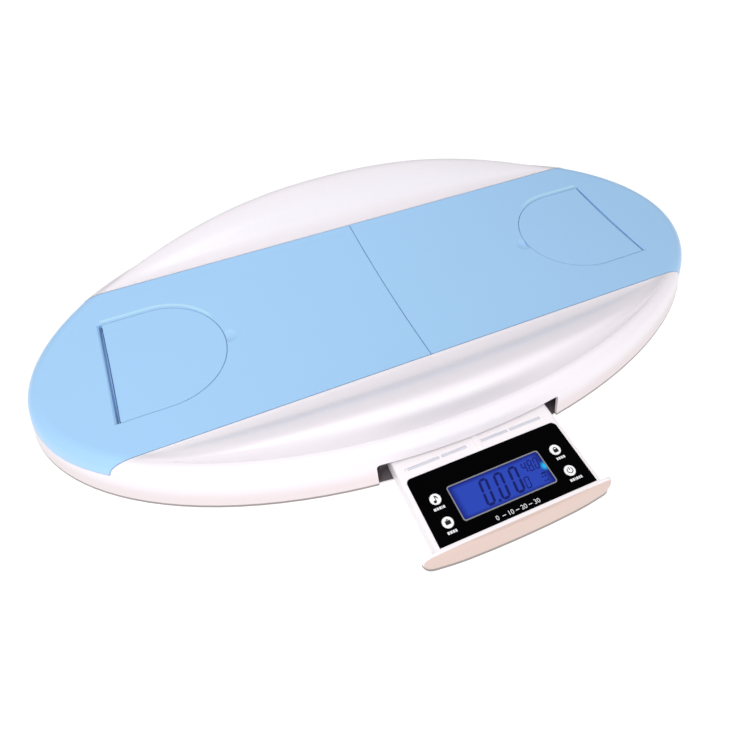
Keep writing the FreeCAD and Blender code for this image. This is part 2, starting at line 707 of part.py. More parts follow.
def flap_cavity():
    """Space that a board, its barrel and its swinging edge need."""
    width = s.flap_half_width + s.flap_gap
    plate = flap_outline(s.flap_gap, -s.rim_drop, clear_top)
    floor = under_dish(s.flap_thickness + 0.3, -s.rim_drop - 1)
    plate = plate.cut(floor)
    lug_start = s.knuckle_half_length + s.flap_gap
    sweep = along_y(sweep_radius(), -width, width)
    low = -(s.hinge_drop + s.knuckle_radius + s.sweep_floor)
    sweep = sweep.common(slab(hinge_x - s.hinge_margin, pin_x, -width, width, low, clear_top))
    barrel = along_y(s.knuckle_radius + s.sweep_floor, -lug_start, lug_start)
    pin = along_y(s.pin_radius, -width, width)
    bevel = bevel_tool(width)
    return plate.fuse([sweep, barrel, pin, bevel])


def bevel_tool(width):
    """Bevel along the outboard edge of the hinge trough, which follows the dish of the deck."""
    edge = hinge_x - s.groove_reach
    wires = []
    for share in (-1, -0.5, 0, 0.5, 1):
        y, z = share * width, dish(0, abs(share) * width)
        low = z - s.groove_bevel
        corners = [vector(edge, y, z), vector(edge, y, clear_top), vector(pin_x, y, clear_top),
                   vector(pin_x, y, low), vector(edge + s.groove_bevel, y, low)]
        wires.append(Part.makePolygon(corners + corners[:1]))
    return Part.makeLoft(wires, True, False)


def finger_scoop():
    """Shallow spherical scoop at the rounded end of a board."""
    depth = s.scoop_depth
    ball = (s.scoop_radius ** 2 + depth ** 2) / (2 * depth)
    x = hinge_x + s.flap_length + s.scoop_radius / 2
    reach = 2 * s.scoop_radius
    scoop = Part.makeSphere(ball, vector(x, 0, ball - depth))
    return scoop.common(slab(x - reach, x + reach, -reach, reach, -reach, reach))


def tray_half():
    """Left half of the blue strip: panel, side flanges with feet, end cap and the well of its board."""
    half = s.strip_width / 2 - s.side_gap
    outer = strip_form(0, half)
    inner = strip_form(s.cap_wall, half - s.flange_wall)
    cap_low = strip_prism(half + 1, base_top - 2, -s.cap_drop_middle, -s.cap_drop_corner,
                          -s.body_length, s.body_length)
    core = drafted(s.ledge_inset - s.ledge_play, base_top - 3, clear_top)
    slide_level = chassis_top + s.side_gap
    low = slab(-s.body_length, s.body_length, -half - 2, half + 2, base_top - 5, slide_level)
    shape = outer.cut(inner).cut(cap_low.cut(core)).cut(low.common(core))
    feet = [slab(-s.body_length, 0, y0, y1, slide_level, slide_level + s.foot_thickness)
            for y0, y1 in ((half - s.flange_wall - s.foot_width, half - 1),
                           (1 - half, s.foot_width + s.flange_wall - half))]
    feet = [foot.common(drafted(s.cap_wall / 2, base_top, 0)) for foot in feet]
    shape = shape.fuse(feet + [flap_well().common(outer)])
    shape = shape.cut(flap_cavity()).cut(finger_scoop())
    wide = s.body_width
    return shape.common(slab(-s.body_length, -s.seam_gap / 2, -wide, wide, -wide, wide))


def hinge_lugs():
    """Two lugs that hold the hinge pin beside the barrel."""
    lugs = []
    for side in (-1, 1):
        start = side * (s.knuckle_half_length + s.flap_gap)
        y0, y1 = sorted((start, start + side * s.lug_length))
        bottom = -(s.hinge_drop + s.knuckle_radius + s.sweep_floor)
        block = slab(pin_x - s.lug_radius, pin_x + s.lug_radius, y0, y1, bottom, -s.hinge_drop)
        lugs.append(along_y(s.lug_radius, y0, y1).fuse(block))
    return lugs


def make_tray_halves():
    pin = along_y(s.pin_radius, -(s.flap_half_width - 1), s.flap_half_width - 1)
    panel = tray_half().fuse(hinge_lugs()).cut(pin).removeSplitter()
    for hand, turn in HAND.items():
        from_shape(f"tray_panel_{hand}", panel, turn)
        from_shape(f"flap_pin_{hand}", pin, turn)


# ---------------------------------------------------------------- head and foot boards

def make_flaps():
    """Board with a dished top, a rounded end and a hinge barrel."""
    plate = flap_outline(0, -s.rim_drop, clear_top)
    plate = plate.common(under_dish(0, -s.rim_drop)).cut(under_dish(s.flap_thickness, -s.rim_drop - 1))
    half = s.knuckle_half_length
    barrel = along_y(s.knuckle_radius, -half, half)
    web = slab(hinge_x, pin_x + s.knuckle_radius / 2, -half, half, -s.hinge_drop, -s.flap_thickness / 2)
    bore = along_y(s.pin_radius + s.shaft_play, -half - 1, half + 1)
    board = plate.fuse([barrel, web]).cut(bore)
    for hand, turn in HAND.items():
        from_shape(f"flap_{hand}", board, turn)


# ---------------------------------------------------------------- length gauge

def involute(base, angle):
    """Point of an involute of the base circle at a roll angle, starting on the x axis."""
    return (base * (math.cos(angle) + angle * math.sin(angle)),
            base * (math.sin(angle) - angle * math.cos(angle)))


def turned(point, angle):
    x, y = point
    return vector(x * math.cos(angle) - y * math.sin(angle), x * math.sin(angle) + y * math.cos(angle), 0)


def gear_face():
    """Pinion outline: involute flanks joined by root and tip arcs."""
    teeth = int(s.pinion_teeth)
    pressure = math.radians(s.pressure_angle)
    base = pitch_radius * math.cos(pressure)
    tip = pitch_radius + s.gear_module
    root = pitch_radius - 1.25 * s.gear_module
    end = math.sqrt((tip / base) ** 2 - 1)
    half_tooth = (math.pi * s.gear_module / 2 - s.gear_backlash) / (2 * pitch_radius)
    start = -(half_tooth + math.tan(pressure) - pressure)
    edges = []
    previous = None
    for tooth in range(teeth):
        turn = 2 * math.pi * tooth / teeth
        rising = [turned(involute(base, end * k / 4), start + turn) for k in range(5)]
        falling = [turned((p[0], -p[1]), turn - start) for p in
                   [involute(base, end * k / 4) for k in range(4, -1, -1)]]
        foot_in, foot_out = turned((root, 0), start + turn), turned((root, 0), turn - start)
        if previous is not None:
            edges.append(Part.LineSegment(previous, foot_in).toShape())
        edges.append(Part.LineSegment(foot_in, rising[0]).toShape())
        edges.append(spline_edge(rising))
        edges.append(Part.LineSegment(rising[-1], falling[0]).toShape())
        edges.append(spline_edge(falling))
        edges.append(Part.LineSegment(falling[-1], foot_out).toShape())
        previous = foot_out
    edges.append(Part.LineSegment(previous, turned((root, 0), start)).toShape())
    return Part.Face(Part.Wire(edges))


def spline_edge(points):
    curve = Part.BSplineCurve()
    curve.interpolate(points)
    return curve.toShape()


def make_pinion():
    wheel = gear_face().extrude(vector(0, 0, s.gear_thickness))
    wheel.translate(vector(0, 0, gear_bottom))
    spokes = 6
    reach = (pitch_radius - 1.25 * s.gear_module + 2 * s.shaft_radius) / 2
    holes = []
    for k in range(spokes):
        spot = turned((reach, 0), 2 * math.pi * (k + 0.5) / spokes)
        holes.append(post(s.shaft_radius, spot.x, spot.y, gear_bottom - 1, gear_top + 1))
    shaft_end = chassis_bottom - s.encoder_height + s.encoder_floor + s.shaft_end_play
    shaft = post(s.shaft_radius, 0, 0, shaft_end, gear_top)
    from_shape("length_pinion", wheel.cut(holes).fuse(shaft))


def rack_teeth(x_end):
    """Straight-flanked rack from the tray's pad to x_end, with a tooth gap opposite the pinion's axis."""
    pitch = math.pi * s.gear_module
    lean = math.tan(math.radians(s.pressure_angle))
    tip_y = pitch_radius - s.gear_module
    root_y = pitch_radius + 1.25 * s.gear_module
    half_tip = pitch / 4 - s.gear_module * lean
    half_root = pitch / 4 + 1.25 * s.gear_module * lean
    first = -math.floor(s.rack_overrun / pitch)
    last = math.floor(x_end / pitch)
    points = []
    for k in range(first, last):
        middle = (k + 0.5) * pitch
        points += [vector(middle - half_root, root_y, 0), vector(middle - half_tip, tip_y, 0),
                   vector(middle + half_tip, tip_y, 0), vector(middle + half_root, root_y, 0)]
    return points, root_y


def make_racks():
    """Rack of the left tray half, on the back side of the pinion; the right one is its half turn."""
    x_end = s.tray_travel + s.rack_overrun
    points, root_y = rack_teeth(x_end)
    back_y = root_y + s.rack_width
    start = hinge_x + s.flap_length - s.well_wall
    corners = [vector(x_end, root_y, 0), vector(x_end, back_y, 0), vector(start, back_y, 0),
               vector(start, root_y, 0)]
    outline = points + corners
    bar = Part.Face(Part.makePolygon(outline + outline[:1])).extrude(vector(0, 0, s.gear_thickness))
    bar.translate(vector(0, 0, gear_bottom))
    foot = slab(start, start + s.rack_foot_length, root_y, back_y, gear_top - 0.5, s.dish_depth)
    foot = foot.common(under_dish(s.panel_thickness, -s.rim_drop))
    for hand, turn in HAND.items():
        from_shape(f"length_rack_{hand}", bar.fuse(foot), turn)


def make_rack_cover():
    """Low bridge that hides racks and pinion when the tray is drawn out."""
    reach = "(gear_module * pinion_teeth / 2 + 1.25 * gear_module + rack_width + side_gap)"
    pad_end = "(body_length / 2 - hinge_margin - flap_length + well_wall - rack_foot_length)"
    length = f"2 * ({pad_end} - cover_gap)"
    height = "2 * rack_clearance + gear_thickness"
    outside = box("cover_outside", length, f"2 * ({reach} + cover_wall)", f"{height} + cover_wall",
                  f"-({length}) / 2", f"-{reach} - cover_wall", CHASSIS_TOP)
    inside = box("cover_inside", length, f"2 * {reach}", height, f"-({length}) / 2", f"-{reach}",
                 CHASSIS_TOP)
    named(cut("cover_cut", outside, inside), "rack_cover")


def make_encoder():
    """Square housing under the chassis plate that the pinion's shaft turns in."""
    low = f"{CHASSIS_BOTTOM} - encoder_height"
    housing = box("encoder_box", "encoder_width", "encoder_width", "encoder_height",
                  "-encoder_width / 2", "-encoder_width / 2", low)
    bore = cylinder("encoder_bore", "shaft_radius + shaft_play", "encoder_height", "0", "0",
                    f"{low} + encoder_floor")
    named(cut("encoder_cut", housing, bore), "length_encoder")


# ---------------------------------------------------------------- chassis

def make_chassis():
    """Plate under the strip, cut to the inside of the body, with holes for the shaft and its screws."""
    shrink = "(ledge_inset + (rim_drop - channel_depth) * tan(wall_draft * 1deg) + chassis_play)"
    plate = oval("chassis_disc", shrink, CHASSIS_BOTTOM, "chassis_thickness")
    band = box("chassis_band", "body_length", "strip_width + 2 * (side_gap + chassis_flange)",
               "chassis_thickness", "-body_length / 2", "-strip_width / 2 - side_gap - chassis_flange",
               CHASSIS_BOTTOM)
    common = doc.addObject("Part::MultiCommon", "chassis_common")
    common.Shapes = [plate, band]
    holes = [cylinder("chassis_shaft_hole", "shaft_radius + 2 * shaft_play", "chassis_thickness",
                      "0", "0", CHASSIS_BOTTOM)]
    for k, (x, y) in enumerate(POSTS):
        holes.append(cylinder(f"chassis_hole_{k}", "screw_radius", "chassis_thickness", x, y,
                              CHASSIS_BOTTOM))
    named(cut("chassis_cut", common, fuse("chassis_holes", holes)), "chassis_plate")


def make_slide_rails():
    """Rails that hold the feet of the side flanges down."""
    inner = "(strip_width / 2 - 2 * side_gap - flange_wall - foot_width - rail_web)"
    lip_level = f"{CHASSIS_TOP} + 2 * side_gap + foot_thickness"
    for name, side in RAIL_SIDES.items():
        web_y = inner if side > 0 else f"-{inner} - rail_web"
        lip_y = inner if side > 0 else f"-{inner} - rail_web - foot_width"
        web = box(f"rail_web_{name}", RAIL_LENGTH, "rail_web",
                  "2 * side_gap + foot_thickness + rail_lip", f"-{RAIL_LENGTH} / 2", web_y, CHASSIS_TOP)
        lip = box(f"rail_lip_{name}", RAIL_LENGTH, "rail_web + foot_width", "rail_lip",
                  f"-{RAIL_LENGTH} / 2", lip_y, lip_level)
        named(fuse(f"rail_{name}", [web, lip]), f"slide_rail_{name}")


def make_deck_screws():
    """Screws that clamp the chassis plate on the posts of the base plate."""
    screws = []
    for k, (x, y) in enumerate(POSTS):
        shank = cylinder(f"deck_shank_{k}", "screw_radius", "chassis_thickness + screw_depth", x, y,
                         f"{CHASSIS_BOTTOM} - screw_depth")
        top = cylinder(f"deck_head_{k}", "screw_head_radius", "screw_head_height", x, y, CHASSIS_TOP)
        screws.append(fuse(f"deck_screw_{k}", [shank, top]))
    named(group("deck_screw_group", screws), "deck_screws")


# ---------------------------------------------------------------- base plate and feet

def battery_box_tools():
    """Walls of the battery box and the space inside it, open at the bottom."""
    inside = {"Length": BOX_LENGTH, "Width": BOX_WIDTH}
    x, y = f"-({BOX_LENGTH}) / 2", f"battery_y - ({BOX_WIDTH}) / 2"
    walls = box("battery_walls", f"{inside['Length']} + 2 * battery_wall",
                f"{inside['Width']} + 2 * battery_wall", f"{BOX_HEIGHT} + battery_wall",
                f"{x} - battery_wall", f"{y} - battery_wall", BASE_TOP)
    space = box("battery_space", inside["Length"], inside["Width"], f"{BOX_HEIGHT} + base_thickness",
                x, y, BASE_BOTTOM)
    return walls, space


def door_recess():
    """Recess of the battery door with the two grooves its tongues slide in."""
    length = f"{BOX_LENGTH} + 2 * (door_margin + door_gap) + door_travel"
    width = f"{BOX_WIDTH} + 2 * (door_margin + door_gap)"
    x = f"-({BOX_LENGTH}) / 2 - door_margin - door_gap"
    y = f"battery_y - ({BOX_WIDTH}) / 2 - door_margin - door_gap"
    recess = box("door_recess", length, width, "door_thickness + door_slack", x, y, BASE_BOTTOM)
    groove = box("door_grooves", length, f"{width} + 2 * door_tongue",
                 "tongue_thickness + 2 * door_slack", x, f"{y} - door_tongue",
                 f"{BASE_BOTTOM} + door_thickness - tongue_thickness - door_slack")
    return [recess, groove]


def make_base_plate():
    """Underside of the body with posts, battery box, sound holes and holes for feet and screws."""
    plate = oval("base_disc", "base_inset", BASE_BOTTOM, "base_thickness")
    walls, space = battery_box_tools()
    solids = [plate, walls]
    holes = [space] + door_recess()
    for k, (x, y) in enumerate(POSTS):
        solids.append(cylinder(f"base_post_{k}", "boss_radius",
                               "rim_drop - channel_depth - chassis_thickness", x, y, BASE_TOP))
        holes.append(cylinder(f"base_pilot_{k}", "screw_radius", "screw_depth", x, y,
                              f"{CHASSIS_BOTTOM} - screw_depth"))
    for k, (x, y) in enumerate(BOARD_PEGS):
        solids.append(cylinder(f"board_peg_{k}", "peg_radius", "peg_height", x, y, BASE_TOP))
    for k, (x, y) in enumerate(case_screw_places()):
        holes.append(cylinder(f"case_hole_{k}", "screw_radius", "base_thickness", f"{x}", f"{y}",
                              BASE_BOTTOM))
        holes.append(cylinder(f"case_sink_{k}", "screw_head_radius", "screw_head_height",
                              f"{x}", f"{y}", BASE_BOTTOM))
    for name, (x, y) in FEET.items():
        holes.append(cylinder(f"foot_hole_{name}", "foot_radius + foot_gap", "base_thickness", x, y,
                              BASE_BOTTOM))
    holes += grille()
    named(cut("base_cut", fuse("base_solids", solids), fuse("base_holes", holes)), "base_plate")


def grille():
    """Ring of sound holes round a middle one."""
    holes = [cylinder("sound_hole", "sound_hole_radius", "base_thickness", "-speaker_x", "battery_y",
                      BASE_BOTTOM)]
    for k in range(SOUND_HOLES):
        angle = 360 * k / SOUND_HOLES
        holes.append(cylinder(f"sound_hole_{k}", "sound_hole_radius", "base_thickness",
                              f"-speaker_x + sound_ring * cos({angle}deg)",
                              f"battery_y + sound_ring * sin({angle}deg)", BASE_BOTTOM))
    return holes


def make_case_screws():
    """Screws that hold the base plate to the upper shell."""
    screws = []
    for k, (x, y) in enumerate(case_screw_places()):
        shank = cylinder(f"case_shank_{k}", "screw_radius",
                         "base_thickness + screw_depth - screw_head_height / 2", f"{x}", f"{y}",
                         f"{BASE_BOTTOM} + screw_head_height / 2")
        head = cylinder(f"case_head_{k}", "screw_head_radius", "screw_head_height - screw_head_sink",
                        f"{x}", f"{y}", f"{BASE_BOTTOM} + screw_head_sink")
        screws.append(fuse(f"case_screw_{k}", [shank, head]))
    named(group("case_screw_group", screws), "case_screws")


def make_feet():
    """Four load cells, each with the foot that presses on it and a rubber pad."""
    for name, (x, y) in FEET.items():
        cell = Drawing(f"load_cell_{name}")
        plate = cell.sketch(BASE_TOP)
        rectangle(plate, f"{x} - cell_side / 2", f"{x} + cell_side / 2", f"{y} - cell_side / 2",
                  f"{y} + cell_side / 2")
        cell.pad(plate, "cell_thickness")
        slots = cell.sketch(f"{BASE_TOP} + cell_thickness")
        for side in ("-", "+"):
            middle = f"{y} {side} cell_side / 4"
            rectangle(slots, f"{x} - cell_side / 4", f"{x} + cell_side / 4", f"{middle} - slot_width / 2",
                      f"{middle} + slot_width / 2")
        cell.pocket(slots, "cell_thickness")
        cell.done()
        stem = cylinder(f"foot_stem_{name}", "foot_radius", "base_thickness + foot_stand - pad_thickness",
                        x, y, f"{FLOOR} + pad_thickness")
        hollow = cylinder(f"foot_hollow_{name}", "pad_radius", "pad_sink", x, y,
                          f"{FLOOR} + pad_thickness")
        named(cut(f"foot_cut_{name}", stem, hollow), f"foot_{name}")
        pad = cylinder(f"pad_disc_{name}", "pad_radius", "pad_thickness + pad_sink", x, y, FLOOR)
        named(group(f"pad_group_{name}", [pad]), f"foot_pad_{name}")


# ---------------------------------------------------------------- batteries and electronics

def make_batteries():
    """Four cells that lie side by side, every other one turned round, with their contacts."""
    contacts = []
    for k in range(4):
        y = f"battery_y + {k - 1.5} * battery_pitch"
        flip = k % 2 == 1
        body_x = "-battery_length / 2 + nub_length" if flip else "-battery_length / 2"
        nub_x = "-battery_length / 2" if flip else "battery_length / 2 - nub_length"
        can = cylinder(f"battery_can_{k}", "battery_radius", "battery_length - nub_length", body_x, y,
                       BATTERY_LEVEL, (1, 0, 0))
        nub = cylinder(f"battery_nub_{k}", "nub_radius", "nub_length", nub_x, y, BATTERY_LEVEL, (1, 0, 0))
        named(fuse(f"battery_{k}", [can, nub]), f"battery_cell_{k + 1}")
        contacts += battery_contact_pair(k, y)
    named(group("battery_contact_group", contacts), "battery_contacts")


def battery_contact_pair(k, y):
    """Plate with a round spring at each end of a cell."""
    pair = []
    plate_x = {"a": f"-({BOX_LENGTH}) / 2", "b": f"({BOX_LENGTH}) / 2 - contact_plate"}
    spring_x = {"a": f"-({BOX_LENGTH}) / 2 + contact_plate", "b": "battery_length / 2"}
    for end in ("a", "b"):
        plate = box(f"contact_plate_{k}{end}", "contact_plate", "contact_side", "contact_side",
                    plate_x[end], f"{y} - contact_side / 2", f"{BATTERY_LEVEL} - contact_side / 2")
        spring = cylinder(f"contact_spring_{k}{end}", "nub_radius", "contact_gap - contact_plate",
                          spring_x[end], y, BATTERY_LEVEL, (1, 0, 0))
        pair.append(fuse(f"contact_{k}{end}", [plate, spring]))
    return pair


def make_battery_door():
    """Flat door with a tongue along each long edge and three grip grooves."""
    door = Drawing("battery_door")
    left, right = f"-({BOX_LENGTH}) / 2 - door_margin", f"({BOX_LENGTH}) / 2 + door_margin"
    front = f"battery_y - ({BOX_WIDTH}) / 2 - door_margin"
    back = f"battery_y + ({BOX_WIDTH}) / 2 + door_margin"
    plate = door.sketch(BASE_BOTTOM)
    rectangle(plate, left, right, front, back)
    door.pad(plate, "door_thickness")
    tongues = door.sketch(f"{BASE_BOTTOM} + door_thickness - tongue_thickness")
    rectangle(tongues, left, right, f"{front} - door_tongue + door_gap", f"{back} + door_tongue - door_gap")
    door.pad(tongues, "tongue_thickness")
    grips = door.sketch(f"{BASE_BOTTOM} + grip_depth")
    for k in range(3):
        x = f"{right} - {k + 2} * grip_pitch"
        rectangle(grips, x, f"{x} + grip_pitch / 2", "battery_y - grip_length / 2",
                  "battery_y + grip_length / 2")
    door.pocket(grips, "grip_depth")
    door.done()


def make_main_board():
    """Circuit board on four pegs with its chips and a connector."""
    board = Drawing("main_board")
    level = f"{BASE_TOP} + peg_height"
    flat = board.sketch(level)
    rectangle(flat, "board_x - main_board_length / 2", "board_x + main_board_length / 2",
              "battery_y - main_board_width / 2", "battery_y + main_board_width / 2")
    board.pad(flat, "board_thickness")
    chips = board.sketch(f"{level} + board_thickness")
    for x, y, length, width in CHIPS:
        rectangle(chips, f"board_x + main_board_length * ({x - length / 2})",
                  f"board_x + main_board_length * ({x + length / 2})",
                  f"battery_y + main_board_width * ({y - width / 2})",
                  f"battery_y + main_board_width * ({y + width / 2})")
    board.pad(chips, "chip_height")
    board.done()


def make_speaker():
    """Loudspeaker that lies over the sound holes."""
    basket = cylinder("speaker_basket", "speaker_radius", "speaker_height", "-speaker_x", "battery_y",
                      BASE_TOP)
    magnet = cylinder("speaker_magnet", "speaker_radius / 2", "speaker_height / 2", "-speaker_x",
                      "battery_y", f"{BASE_TOP} + speaker_height")
    named(fuse("speaker_fuse", [basket, magnet]), "speaker")


# ---------------------------------------------------------------- drawer

def lip_points(level):
    """Points along the bowed face of the drawer front at a level, which has blunt ends."""
    lean = math.tan(math.radians(s.wall_draft))
    climb = max(level + s.drawer_drop + s.front_edge_round, 0) / s.front_edge_round
    roll = 1 - math.sqrt(max(1 - climb ** 2, 0))
    bulge = s.front_depth - s.front_end_depth - (level - base_top) * lean - s.front_edge_reach * roll
    half = drawer_half + s.front_side - s.front_end_reach * roll
    power = 0.6 + 1.4 * roll
    stations = 13
    points = []
    for k in range(stations):
        angle = math.pi * (k / (stations - 1) - 0.5)
        depth = s.front_end_depth + bulge * max(math.cos(angle), 0) ** power
        points.append(vector(half * math.sin(angle), drawer_face_y - depth, level))
    return points


def lip_wire(level):
    """Outline of the drawer front at a level, with knots that all levels share."""
    points, foot = lip_points(level), lip_points(base_top)
    knots = [0]
    for before, after in zip(foot, foot[1:]):
        knots.append(knots[-1] + before.distanceToPoint(after))
    curve = Part.BSplineCurve()
    curve.interpolate(Points=points, Parameters=[knot / knots[-1] for knot in knots])
    behind = [vector(point.x, drawer_face_y, level) for point in (points[-1], points[0])]
    corners = [points[-1]] + behind + [points[0]]
    lines = [Part.LineSegment(a, b).toShape() for a, b in zip(corners, corners[1:])]
    return Part.Wire([curve.toShape()] + lines)


def make_drawer_front():
    """Curved front of the drawer that closes flush with the foot of the body's wall."""
    low, high = base_top + s.front_gap, -s.drawer_drop
    start = high - s.front_edge_round
    levels = [low, (low + start) / 2]
    levels += [start + s.front_edge_round * math.sin(math.radians(a)) for a in (0, 30, 60, 90)]
    from_shape("drawer_front", Part.makeLoft([lip_wire(level) for level in levels], True, False))


def make_drawer_tray():
    """Open box under the top cover, with pegs for the circuit board and short runners at its back."""
    tray = Drawing("drawer_tray")
    half = DRAWER_HALF
    outline = tray.sketch(DRAWER_BOTTOM)
    rectangle(outline, f"-{half}", half, FACE_Y, DRAWER_BACK_Y)
    tray.pad(outline, "drawer_height - bezel_height")
    hollow = tray.sketch(BEZEL_BOTTOM)
    rectangle(hollow, f"-{half} + drawer_wall", f"{half} - drawer_wall", f"{FACE_Y} + drawer_wall",
              f"{DRAWER_BACK_Y} - drawer_wall")
    tray.pocket(hollow, "drawer_height - bezel_height - drawer_wall")
    runners = tray.sketch("-runner_drop - runner_thickness")
    for side in ("-", ""):
        near, far = f"{side}({half} - 1)", f"{side}({half} + runner_width)"
        left, right = (far, near) if side else (near, far)
        rectangle(runners, left, right, f"{DRAWER_BACK_Y} - runner_length", DRAWER_BACK_Y)
    tray.pad(runners, "runner_thickness")
    pegs = tray.sketch(f"{DRAWER_BOTTOM} + drawer_wall")
    for x in (f"-{PEG_X}", PEG_X):
        for y in (f"{PANEL_BACK_Y} - key_inset + peg_shift", f"{PANEL_FRONT_Y} + peg_shift"):
            circle(pegs, x, y, "peg_radius")
    tray.pad(pegs, f"{BOARD_TOP} - board_thickness - ({DRAWER_BOTTOM}) - drawer_wall")
    tray.done()


def make_drawer_bezel():
    """Top cover of the drawer with the display recess and two long grooves behind it."""
    cover = Drawing("drawer_bezel")
    outline = cover.sketch(BEZEL_BOTTOM)
    rectangle(outline, f"-{DRAWER_HALF}", DRAWER_HALF, FACE_Y, DRAWER_BACK_Y)
    cover.pad(outline, "bezel_height")
    cover.round_edges("bezel_round", lambda e: e.BoundBox.ZMin > -s.drawer_drop - 0.01
                      and e.BoundBox.YLength > 10)
    recess = cover.sketch(DRAWER_TOP)
    rectangle(recess, "-display_length / 2 - display_gap", "display_length / 2 + display_gap",
              f"{PANEL_FRONT_Y} - display_gap", f"{PANEL_BACK_Y} + display_gap")
    cover.pocket(recess, "display_sink + display_thickness")
    cover.round_edges("display_corner + display_gap", lambda e: upright(e)
                      and abs(e.CenterOfMass.y - panel_back_y) < 1)
    window = cover.sketch(DRAWER_TOP)
    rectangle(window, "-display_length / 2 + ledge_width", "display_length / 2 - ledge_width",
              f"{PANEL_FRONT_Y} + ledge_width", f"{PANEL_BACK_Y} - ledge_width")
    cover.pocket(window, "bezel_height")
    grooves = cover.sketch(DRAWER_TOP)
    for start, end in GROOVE_PARTS:
        rectangle(grooves, f"{DRAWER_HALF} * ({start})", f"{DRAWER_HALF} * {end}",
                  f"{PANEL_BACK_Y} + groove_inset - groove_width / 2",
                  f"{PANEL_BACK_Y} + groove_inset + groove_width / 2")
    cover.pocket(grooves, "groove_depth")
    catch = cover.sketch(DRAWER_TOP)
    rectangle(catch, "-catch_width / 2", "catch_width / 2", f"{PANEL_BACK_Y} + catch_inset",
              f"{PANEL_BACK_Y} + catch_inset + catch_length")
    cover.pad(catch, "catch_height")
    cover.round_edges("catch_height / 2", lambda e: e.BoundBox.ZMin > -s.drawer_drop + s.catch_height - 0.01)
    cover.done()


def make_display():
    """Black panel with its window and key holes, the silver frame, the display and its board."""
    panel = Drawing("display_panel")
    outline = panel.sketch(PANEL_BOTTOM)
    rectangle(outline, "-display_length / 2", "display_length / 2", PANEL_FRONT_Y, PANEL_BACK_Y)
    panel.pad(outline, "display_thickness")
    panel.round_edges("display_corner", lambda e: upright(e) and e.CenterOfMass.y > panel_back_y - 1)
    window = panel.sketch(PANEL_TOP)
    window_rectangle(window, "0")
    panel.pocket(window, "display_thickness")
    panel.round_edges("lcd_corner", at_window)
    holes = panel.sketch(PANEL_TOP)
    for x, y in key_places():
        circle(holes, x, y, "key_radius + key_play")
    panel.pocket(holes, "display_thickness")
    panel.done()
    make_lcd()
    make_display_board()


def window_rectangle(flat, shrink):
    """Window outline moved in by shrink."""
    middle_y = f"({PANEL_BACK_Y} - lcd_inset - lcd_width / 2)"
    rectangle(flat, f"-lcd_offset - {LCD_LENGTH} / 2 + {shrink}",
              f"-lcd_offset + {LCD_LENGTH} / 2 - {shrink}",
              f"{middle_y} - lcd_width / 2 + {shrink}", f"{middle_y} + lcd_width / 2 - {shrink}")


def make_lcd():
    """Silver frame and the stepped display block that stands in it."""
    frame = Drawing("lcd_bezel")
    outline = frame.sketch(LCD_STEP)
    window_rectangle(outline, "frame_play")
    frame.pad(outline, "display_sink + display_thickness + frame_proud + lcd_step")
    frame.round_edges("lcd_corner - frame_play", upright)
    inner = frame.sketch("-drawer_drop + frame_proud")
    window_rectangle(inner, "lcd_frame")
    frame.pocket(inner, "display_sink + display_thickness + frame_proud + lcd_step")
    frame.round_edges("lcd_corner - lcd_frame", lambda e: upright(e)
                      and abs(e.CenterOfMass.x + s.lcd_offset) < lcd_length / 2 - s.lcd_frame / 2
                      and abs(e.CenterOfMass.y - lcd_middle_y) < s.lcd_width / 2 - s.lcd_frame / 2)
    frame.done()
    block = Drawing("lcd_screen")
    base = block.sketch(BOARD_TOP)
    window_rectangle(base, "-1 * lcd_frame")
    block.pad(base, f"{LCD_STEP} - ({BOARD_TOP})")
    glass = block.sketch(LCD_STEP)
    window_rectangle(glass, "lcd_frame")
    block.pad(glass, f"-lcd_drop - ({LCD_STEP})")
    block.round_edges("lcd_corner - lcd_frame", lambda e: upright(e)
                      and e.BoundBox.ZMax > -s.lcd_drop - 0.01)
    block.done()


def make_display_board():
    """Board under the display and the four switches under the keys."""
    board = Drawing("display_board")
    flat = board.sketch(f"{BOARD_TOP} - board_thickness")
    rectangle(flat, "-display_length / 2 + board_margin", "display_length / 2 - board_margin",
              f"{PANEL_FRONT_Y} + board_margin", f"{PANEL_BACK_Y} - board_margin")
    board.pad(flat, "board_thickness")
    board.done()
    switches = []
    for k, (x, y) in enumerate(key_places()):
        base = box(f"switch_base_{k}", "switch_side", "switch_side", "switch_height / 2",
                   f"{x} - switch_side / 2", f"{y} - switch_side / 2", BOARD_TOP)
        button = cylinder(f"switch_button_{k}", "switch_side / 4", "switch_height / 2", x, y,
                          f"{BOARD_TOP} + switch_height / 2")
        switches.append(fuse(f"switch_{k}", [base, button]))
    named(group("switch_group", switches), "key_switches")


def key_places():
    """Centres of the four keys."""
    return [(f"{side} * (display_length / 2 - key_side_inset)",
             f"{PANEL_BACK_Y} - key_inset - {row} * key_pitch")
            for side, row in KEYS.values()]


def make_keys():
    """Round keys with a bevelled rim and a flange under the panel."""
    for name, (x, y) in zip(KEYS, key_places()):
        foot = f"{PANEL_BOTTOM} - key_slack - key_flange"
        flange = cylinder(f"{name}_flange", "key_radius + key_flange_reach", "key_flange", x, y, foot)
        stem = cylinder(f"{name}_stem", "key_radius",
                        "key_flange + key_slack + display_thickness + key_proud - key_bevel", x, y, foot)
        top = doc.addObject("Part::Cone", f"{name}_top")
        bind(top, Radius1="key_radius", Radius2="key_radius - key_bevel", Height="key_bevel",
             Placement__Base__x=x, Placement__Base__y=y,
             Placement__Base__z=f"{PANEL_TOP} + key_proud - key_bevel")
        named(fuse(f"{name}_fuse", [flange, stem, top]), name)


